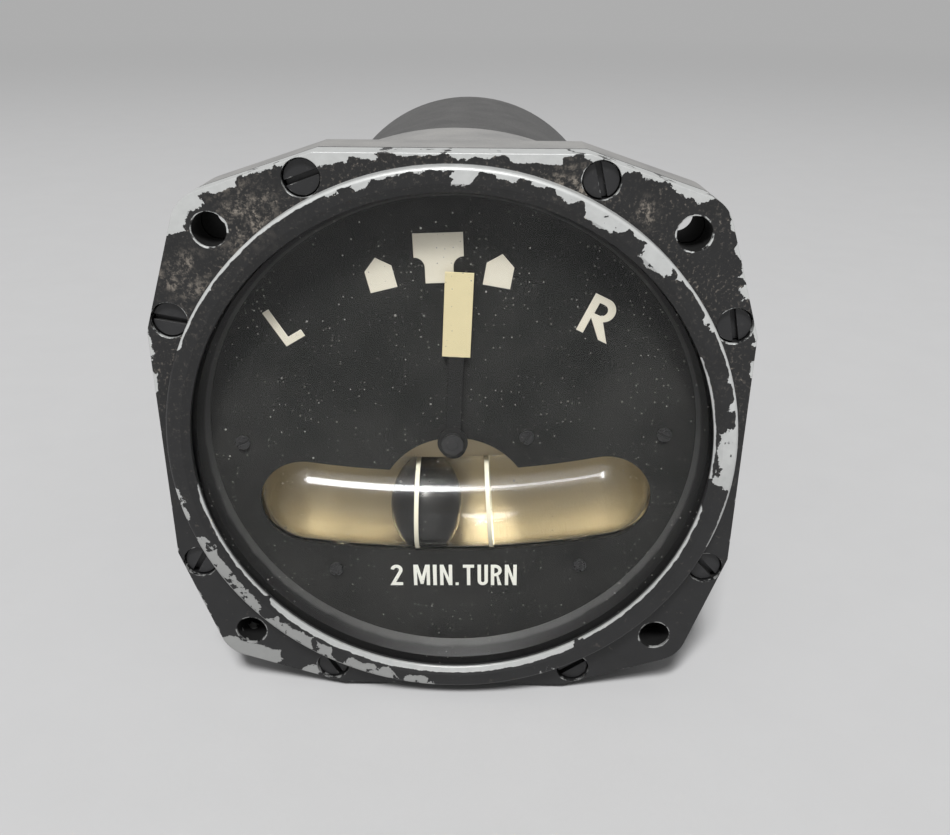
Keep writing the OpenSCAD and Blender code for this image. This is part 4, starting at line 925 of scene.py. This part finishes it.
@dataclass(frozen=True)
class Lamp:
    """A soft box aimed at the dial; one that doesn't shine is left out of reflections."""

    name: str
    place: Place
    size: Point
    watts: float
    shines: bool = True

    def build(self) -> None:
        """Hang the lamp."""
        light = bpy.data.lights.new(self.name, "AREA")
        light.shape = "RECTANGLE"
        light.size, light.size_y = (side * MM for side in self.size)
        light.energy = self.watts
        lamp = new_object(self.name, light)
        lamp.visible_glossy = self.shines
        lamp.location = Vector(self.place) * MM
        lamp.rotation_euler = (-lamp.location).to_track_quat("-Z", "Y").to_euler()


@dataclass
class Studio:
    """Pale floor, even surroundings and two soft boxes, of which the inner one shines on the glass."""

    floor_at: Point = (30.0, -41.05)
    floor_end: Point = (142.0, -36.55)
    floor_half: float = 6000.0
    floor_fade: Point = (350.0, 1600.0)
    floor_tone: Colour = (0.50, 0.50, 0.5025)
    floor_cloud: Noise = (60.0, 5.0, 0.7)
    floor_shades: Point = (0.97, 1.03)
    floor_rough: float = 0.9
    floor_gloss: float = 0.1
    around: float = 0.26
    shown: float = 0.42
    seen: Tuple[Ray, ...] = (Ray.CAMERA, Ray.GLOSSY, Ray.TRANSMISSION)
    lamps: Tuple[Lamp, ...] = (
        Lamp("outer", (-340.0, -1640.0, 2520.0), (300.0, 360.0), 43.0, shines=False),
        Lamp("inner", (-95.0, -1640.0, 2520.0), (260.0, 820.0), 66.0),
    )

    def floor_finish(self) -> bpy.types.Material:
        """Make the floor pale, and even with the surroundings far away.

        Returns:
            The material.
        """
        g = Graph("floor_pale")
        colour = g.mottle(g.noise(*self.floor_cloud), self.floor_tone, *self.floor_shades)
        near = g.solid(Base_Color=colour, Roughness=self.floor_rough, Specular_IOR_Level=self.floor_gloss)
        away = g.node("VectorMath", {0: g.place}, operation="LENGTH").outputs["Value"]
        share = g.times(g.across(away, self.floor_fade), g.rays(*self.seen))
        far = g.add("Emission", {"Color": WHITE, "Strength": self.shown})
        return g.done(g.layer(share, near, far))

    def floor(self) -> None:
        """Lay the floor under the drum and the can."""
        rise = (self.floor_end[1] - self.floor_at[1]) / (self.floor_end[0] - self.floor_at[0])
        mesh = bpy.data.meshes.new("floor")
        corners = []
        for side, end in ((-1, -1), (1, -1), (1, 1), (-1, 1)):
            x, y = side * self.floor_half, end * self.floor_half
            corners.append((x * MM, y * MM, (self.floor_at[1] + rise * (y - self.floor_at[0])) * MM))
        mesh.from_pydata(corners, [], [(0, 1, 2, 3)])
        mesh.materials.append(self.floor_finish())
        new_object("floor", mesh)

    def surroundings(self) -> None:
        """Set the even light from all round, and the pale tone that shows behind."""
        g = Graph("surroundings", Kind.WORLD)
        light, show = (g.add("Background", {"Color": WHITE, "Strength": level})
                       for level in (self.around, self.shown))
        bpy.context.scene.world = g.done(g.layer(g.rays(*self.seen), light, show))

    def build(self) -> None:
        """Set the floor, the surroundings, the lamps and the view."""
        self.floor()
        self.surroundings()
        for lamp in self.lamps:
            lamp.build()
        bpy.context.scene.view_settings.view_transform = "Standard"


def new_piece(name: str, mesh: bpy.types.Mesh, material: bpy.types.Material, body: Body) -> bpy.types.Object:
    """Add a piece that rides a body.

    Args:
        name: Name of the piece.
        mesh: Its mesh, in the part's frame.
        material: Its finish.
        body: The body that it moves with.

    Returns:
        The new object.
    """
    piece = new_object(name, mesh)
    mesh.materials.append(material)
    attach(piece, body.value)
    log.info("piece %s rides %s", name, body.value)
    return piece


def dress(finish: Finish, *names: str) -> bpy.types.Material:
    """Give carried-over nodes a finish.

    Args:
        finish: The finish.
        *names: Names of the nodes.

    Returns:
        The material that they wear.
    """
    material = finish.make()
    for name in names:
        slots = frame["nodes"][name].data.materials
        slots.clear()
        slots.append(material)
        log.info("node %s wears %s", name, material.name)
    return material


def round_edges(name: str, width: float) -> None:
    """Round the sharp edges of a carried-over node.

    Args:
        name: Name of the node.
        width: Width of the rounding.
    """
    bevel = frame["nodes"][name].modifiers.new("rounded_edges", "BEVEL")
    bevel.width = width * MM
    bevel.segments = ROUND_STEPS
    bevel.limit_method = "ANGLE"
    bevel.angle_limit = math.radians(SHARP_ANGLE)


@dataclass
class Bezel:
    """Flange with its raised ring, screws, gaskets, spacer and cover glass."""

    flange: BezelPaint = BezelPaint()
    screws: Paint = Paint("screw_black", (0.018, 0.018, 0.019), rough=0.42, dust=0.1, wear=0.12, edge=0.12)
    rubber: Soft = Soft("rubber_black", (0.012, 0.012, 0.012), (0.03, 0.03, 0.03), rough=0.7)
    glass: ClearGlass = ClearGlass("cover_glass_clear", 1.2, dusty=0.8)
    spacer: SpacerPaint = SpacerPaint()

    def build(self) -> None:
        """Dress the bezel's nodes, and the case's seals with its rubber."""
        dress(self.flange, "front_bezel")
        dress(self.screws, "bezel_screws")
        dress(self.rubber, "bezel_gasket", "glass_gasket", "can_seal", "connector_gasket")
        dress(self.glass, "cover_glass")
        dress(self.spacer, "glass_spacer")


def ribbon(points: Iterable[Point], width: float) -> Outline:
    """Give a line of points a width, with mitred corners.

    Args:
        points: Points of the line.
        width: Width of the ribbon.

    Returns:
        Outline of the ribbon.
    """
    left: Outline = []
    right: Outline = []
    line = [Vector(point) for point in points]
    for i, point in enumerate(line):
        before = (point - line[i - 1]).normalized() if i else None
        after = (line[i + 1] - point).normalized() if i + 1 < len(line) else None
        base = after if before is None else before
        ahead = (base + (base if after is None else after)).normalized()
        across = Vector((-ahead.y, ahead.x))
        grow = 1.0 / max(MITRE_LEAST, across.dot(Vector((-base.y, base.x))))
        left.append(tuple(point + across * width / 2.0 * grow))
        right.append(tuple(point - across * width / 2.0 * grow))
    return left + right[::-1]


def arc(centre: Point, rx: float, ry: float, start: float, end: float, steps: int = 14) -> Outline:
    """Return points on part of an ellipse, angles anticlockwise from the right."""
    turns = (math.radians(start + (end - start) * i / steps) for i in range(steps + 1))
    return [(centre[0] + rx * math.cos(a), centre[1] + ry * math.sin(a)) for a in turns]


@dataclass
class Lettering:
    """Plain painted capitals and figures on the dial."""

    dial_y: float = 4.2
    height: float = 0.03
    gap: float = 0.002
    stroke: float = 0.145
    legend_at: Point = (-9.75, -25.2)
    legend_h: float = 3.75
    legend_turn: float = 0.8
    spans: Tuple[Tuple[str, float, float], ...] = (
        ("2", 0.0, 1.87), ("M", 3.58, 6.13), ("I", 6.61, 7.2), ("N", 7.7, 9.63), (".", 10.12, 10.6),
        ("T", 11.3, 13.05), ("U", 13.58, 15.2), ("R", 15.65, 17.35), ("N", 17.84, 19.7),
    )
    left_stroke: Tuple[Point, ...] = ((-25.93, 19.29), (-23.17, 14.9), (-20.9, 16.27))
    left_w: float = 1.05
    right_foot: Point = (17.16, 17.12)
    right_h: float = 5.78
    right_turn: float = -25.5
    right_stroke: float = 0.185
    white: Soft = Soft("legend_white", (0.78, 0.78, 0.70), (0.85, 0.85, 0.77), rough=0.55,
                       cloud=FINE_CLOUD, depth=0.008)

    def glyph(self, letter: str, w: float) -> List[Outline]:
        """Draw one letter of the legend.

        Args:
            letter: The letter.
            w: Its width on a cell one unit high.

        Returns:
            Its outlines, holes among them.
        """
        s = self.stroke
        h, mid = s / 2.0, w / 2.0
        bend = mid - h
        if letter == "R":
            bowl_r, waist = 0.28, 0.44
            middle, sill = (w - bowl_r, 1.0 - bowl_r), waist + s * 0.9
            leg = [(w, 0), (w - 1.12 * s, 0), (w * 0.52, waist), (s, waist), (s, 0)]
            bowl = arc(middle, bowl_r, bowl_r, 90, -60)
            eye = arc(middle, bowl_r - s, bowl_r - s, 90, -90)
            return [[(0, 0), (0, 1)] + bowl + leg, [(s, sill), (s, 1 - s)] + eye + [(w - bowl_r, sill)]]
        shapes: Dict[str, Outline] = {
            "2": ribbon(arc((mid, 1.0 - mid), bend, bend, 172, -32) + [(h * 1.15, h), (w, h)], s),
            "M": [(0, 0), (0, 1), (1.3 * s, 1), (mid, 0.42), (w - 1.3 * s, 1), (w, 1), (w, 0), (w - s, 0),
                  (w - s, 0.66), (mid + 0.42 * s, 0.06), (mid - 0.42 * s, 0.06), (s, 0.66), (s, 0)],
            "I": [(0, 0), (0, 1), (w, 1), (w, 0)],
            "N": [(0, 0), (0, 1), (1.05 * s, 1), (w - s, 0.36), (w - s, 1), (w, 1), (w, 0),
                  (w - 1.05 * s, 0), (s, 0.64), (s, 0)],
            ".": [(0, 0), (0, s * 0.9), (w, s * 0.9), (w, 0)],
            "T": [(mid - h, 0), (mid - h, 1 - s), (0, 1 - s), (0, 1), (w, 1), (w, 1 - s),
                  (mid + h, 1 - s), (mid + h, 0)],
            "U": ribbon([(h, 1.0)] + arc((mid, mid), bend, bend, 180, 360) + [(w - h, 1.0)], s),
        }
        return [shapes[letter]]

    def legend(self) -> List[Outline]:
        """Draw the legend.

        Returns:
            Its outlines on the dial.
        """
        turn = Matrix.Rotation(math.radians(self.legend_turn), 2)
        left, foot = self.legend_at
        outlines = []
        for letter, start, end in self.spans:
            for outline in self.glyph(letter, (end - start) / self.legend_h):
                cells = (Vector((left + start + x * self.legend_h, z * self.legend_h)) for x, z in outline)
                outlines.append([tuple(turn @ cell + Vector((0.0, foot))) for cell in cells])
        return outlines

    def right_letter(self) -> List[Outline]:
        """Draw the large R.

        Returns:
            Its outline and its eye on the dial.
        """
        s = self.right_stroke
        inner_x = s + 0.015
        leg = [(0.835, 0), (0.6, 0), (s, 0.415), (s, 0)]
        outer = [(0, 0), (0, 1)] + arc((0.372, 0.706), 0.294, 0.294, 90, -65) + leg
        eye = [(inner_x, 0.547), (inner_x, 0.832)] + arc((0.333, 0.69), 0.143, 0.142, 90, -90)
        turn = Matrix.Rotation(math.radians(self.right_turn), 2)
        foot = Vector(self.right_foot)
        return [[tuple(foot + turn @ Vector(spot) * self.right_h) for spot in line] for line in (outer, eye)]

    def plate(self, name: str, outlines: List[Outline], material: bpy.types.Material) -> None:
        """Raise outlines into a thin film of paint on the dial.

        Args:
            name: Name of the piece.
            outlines: Outlines and holes.
            material: Its finish.
        """
        curve = bpy.data.curves.new(name, "CURVE")
        curve.dimensions = "2D"
        curve.fill_mode = "BOTH"
        curve.extrude = self.height / 2.0 * MM
        for outline in outlines:
            spline = curve.splines.new("POLY")
            spline.points.add(len(outline) - 1)
            spline.use_cyclic_u = True
            for point, (x, z) in zip(spline.points, outline):
                point.co = (x * MM, z * MM, 0.0, 1.0)
        drawn = new_object(name + "_outline", curve)
        bpy.context.view_layer.update()
        mesh = bpy.data.meshes.new_from_object(drawn.evaluated_get(bpy.context.evaluated_depsgraph_get()))
        bpy.data.objects.remove(drawn)
        stand = Matrix.Rotation(math.radians(90.0), 4, "X")
        depth = (self.dial_y - self.height / 2.0 - self.gap) * MM
        mesh.transform(Matrix.Translation((0.0, depth, 0.0)) @ stand)
        new_piece(name, mesh, material, Body.CASE)

    def build(self, cream: bpy.types.Material) -> None:
        """Paint the letters on the dial.

        Args:
            cream: Finish of the two large letters.
        """
        self.plate("dial_letter_left", [ribbon(self.left_stroke, self.left_w)], cream)
        self.plate("dial_letter_right", self.right_letter(), cream)
        self.plate("dial_rate_legend", self.legend(), self.white.make())


@dataclass
class Dial:
    """Dial plate with its marks, lettering and screws."""

    plate: DialBlack = DialBlack()
    marks: Soft = Soft("mark_cream_aged", (0.66, 0.618, 0.50), (0.73, 0.69, 0.575), rough=0.55,
                       cloud=FINE_CLOUD, depth=0.008)
    screws: Paint = Paint("dial_screw_black", (0.015, 0.015, 0.015), rough=0.15, dust=0.1, wear=0.05,
                          edge=0.08)
    screw_round: float = 0.45
    lettering: Lettering = field(default_factory=Lettering)

    def build(self) -> None:
        """Dress the dial and paint its letters."""
        dress(self.plate, "dial_plate")
        cream = dress(self.marks, "dial_marks")
        dress(self.screws, "dial_screws")
        round_edges("dial_screws", self.screw_round)
        self.lettering.build(cream)


@dataclass
class SlipTube:
    """Liquid-filled bent tube with its bands, cradle and ball."""

    tube_r: float = 7.2
    bend_r: float = 130.0
    half_angle: float = 10.0
    axis_y: float = 8.5
    bend_z: float = 117.6
    lean: float = 1.8
    sides: int = 64
    steps: int = 72
    cap_steps: int = 16
    glass: ClearGlass = ClearGlass("tube_glass_filled", 1.44, tint=(0.985, 0.98, 0.95), rough=0.06,
                                   bloom=0.25, gathers=True)
    bands: Soft = Soft("band_cream", (0.80, 0.75, 0.56), (0.86, 0.82, 0.66), rough=0.5)
    cradle: CradlePaint = CradlePaint()
    ball: Soft = Soft("ball_black", (0.004, 0.004, 0.004), (0.008, 0.008, 0.008), rough=0.22)

    def stations(self) -> List[Place]:
        """List the stations of the sweep.

        Returns:
            Angle along the bend, push past it, and radius of each.
        """
        turns = [math.radians(90.0 * i / self.cap_steps) for i in range(1, self.cap_steps)]
        ends = [(self.tube_r * math.sin(a), self.tube_r * math.cos(a)) for a in turns]
        shares = [2.0 * i / self.steps - 1.0 for i in range(self.steps + 1)]
        left = [(-self.half_angle, -push, r) for push, r in reversed(ends)]
        bend = [(self.half_angle * share, 0.0, self.tube_r) for share in shares]
        return left + bend + [(self.half_angle, push, r) for push, r in ends]

    def at(self, angle: float, push: float, up: float, back: float) -> Vector:
        """Find a point of the tube.

        Args:
            angle: Angle along the bend.
            push: Way along the tube from there.
            up: Offset across it, upward.
            back: Offset across it, to the rear.

        Returns:
            The point in metres.
        """
        a = math.radians(angle)
        down = up - self.bend_r
        x = push * math.cos(a) - down * math.sin(a)
        z = push * math.sin(a) + down * math.cos(a) + self.bend_z
        return Matrix.Rotation(math.radians(-self.lean), 3, "Y") @ Vector((x, self.axis_y + back, z)) * MM

    def mesh(self) -> bpy.types.Mesh:
        """Build the closed outside of the tube.

        Returns:
            The mesh.
        """
        bm = bmesh.new()
        turns = [2.0 * math.pi * k / self.sides for k in range(self.sides)]
        pairs = [(k, (k + 1) % self.sides) for k in range(self.sides)]
        rings = []
        for angle, push, r in self.stations():
            spots = (self.at(angle, push, r * math.cos(t), r * math.sin(t)) for t in turns)
            rings.append([bm.verts.new(spot) for spot in spots])
        for one, two in zip(rings, rings[1:]):
            for k, j in pairs:
                bm.faces.new((one[k], two[k], two[j], one[j]))
        for ring, side in ((rings[0], -1.0), (rings[-1], 1.0)):
            pole = bm.verts.new(self.at(side * self.half_angle, side * self.tube_r, 0.0, 0.0))
            for k, j in pairs:
                bm.faces.new((ring[k], ring[j], pole))
        bmesh.ops.recalc_face_normals(bm, faces=bm.faces)
        for face in bm.faces:
            face.smooth = True
        mesh = bpy.data.meshes.new("slip_tube_filled")
        bm.to_mesh(mesh)
        bm.free()
        return mesh

    def build(self) -> None:
        """Make the filled tube and dress what is round it."""
        tube = new_piece("slip_tube_filled", self.mesh(), self.glass.make(), Body.CASE)
        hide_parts("inclinometer_tube", "tube_ends")
        dress(self.bands, "inclinometer_bands")
        dress(self.cradle, "inclinometer_cradle")
        dress(self.ball, "slip_ball")


@dataclass
class Pointer:
    """Turn pointer with its hub and arbor."""

    blade: PointerPaint = PointerPaint()
    hub: Paint = Paint("hub_black", (0.019, 0.019, 0.019), rough=0.2, dust=0.1, wear=0.1, edge=0.08)
    hub_round: float = 0.3

    def build(self) -> None:
        """Dress the pointer's nodes."""
        dress(self.blade, "pointer_blade")
        dress(self.hub, "pointer_hub", "pointer_arbor")
        round_edges("pointer_hub", self.hub_round)


@dataclass
class CaseShell:
    """Case body, rear can and the connector."""

    # the body's bores carry painted shade
    body: Paint = Paint("case_grey", (0.20, 0.20, 0.203), rough=0.5, dust=0.9, wear=0.5, edge=0.25,
                        shaded_bore_r=2.7)
    can: Paint = Paint("can_black", (0.018, 0.018, 0.019), rough=0.45, dust=0.24, wear=0.15, edge=0.25)
    alloy: Metal = Metal("connector_alloy", (0.56, 0.56, 0.55), rough=0.38)
    insert: Soft = Soft("insert_brown", (0.035, 0.022, 0.016), (0.055, 0.035, 0.025), rough=0.5)

    def build(self) -> None:
        """Dress the case's nodes."""
        dress(self.body, "case_body")
        dress(self.can, "case_can")
        dress(self.alloy, "connector_shell")
        dress(self.insert, "connector_insert")


@dataclass
class Works:
    """Frame, gimbal, rotor, damper, spring and electrics inside the case, and the steel screws."""

    outfits: Tuple[Tuple[Finish, Tuple[str, ...]], ...] = (
        (Metal("works_aluminium", (0.60, 0.60, 0.60), rough=0.36),
         ("inclinometer_bracket", "front_plate", "rear_plate", "gimbal_frame", "bearing_caps",
          "stator_carrier", "adjuster_bracket")),
        (Metal("works_steel", (0.50, 0.50, 0.51), rough=0.28),
         ("bracket_screws", "plate_screws", "block_screws", "can_screws", "connector_screws", "frame_pillars",
          "rear_posts", "board_spacers", "gimbal_pivots", "tilt_stops", "rotor_shaft", "rotor_bearings",
          "damper_piston", "centring_spring", "adjuster_nut")),
        (Metal("works_brass", (0.60, 0.44, 0.19), rough=0.3, stain=(0.16, 0.09, 0.03)),
         ("pointer_bushes", "pointer_fork", "gimbal_bushes", "gimbal_crank", "damper_arm", "gyro_rotor",
          "damper_cylinder", "spring_adjuster", "connector_contacts")),
        (Metal("core_steel", (0.30, 0.30, 0.32), rough=0.42), ("stator_core",)),
        (Metal("winding_copper", (0.62, 0.29, 0.13), rough=0.3), ("stator_winding",)),
        (Soft("board_green", (0.05, 0.10, 0.045), (0.075, 0.14, 0.06), rough=0.4), ("filter_board",)),
        (Soft("capacitor_sleeve", (0.03, 0.035, 0.05), (0.05, 0.055, 0.075), rough=0.35),
         ("filter_capacitors",)),
        (Soft("lead_sleeve", (0.55, 0.53, 0.43), (0.66, 0.63, 0.52), rough=0.5), ("lead_wires",)),
    )

    def build(self) -> None:
        """Dress the nodes of the works."""
        for finish, names in self.outfits:
            dress(finish, *names)


def main() -> None:
    """Build the scene and report each piece."""
    logging.basicConfig(level=logging.INFO, format="%(name)s: %(message)s")
    cad_nodes = set(frame["nodes"].values())
    for spare in set(bpy.data.objects) - cad_nodes:
        if spare.type in {"MESH", "LIGHT", "CAMERA"}:
            bpy.data.objects.remove(spare)
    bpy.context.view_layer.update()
    PhotoCamera().build()
    Studio().build()
    for assembly in (Bezel(), Dial(), SlipTube(), Pointer(), CaseShell(), Works()):
        assembly.build()
        log.info("%s is built", type(assembly).__name__)


if __name__ == "__main__":
    main()
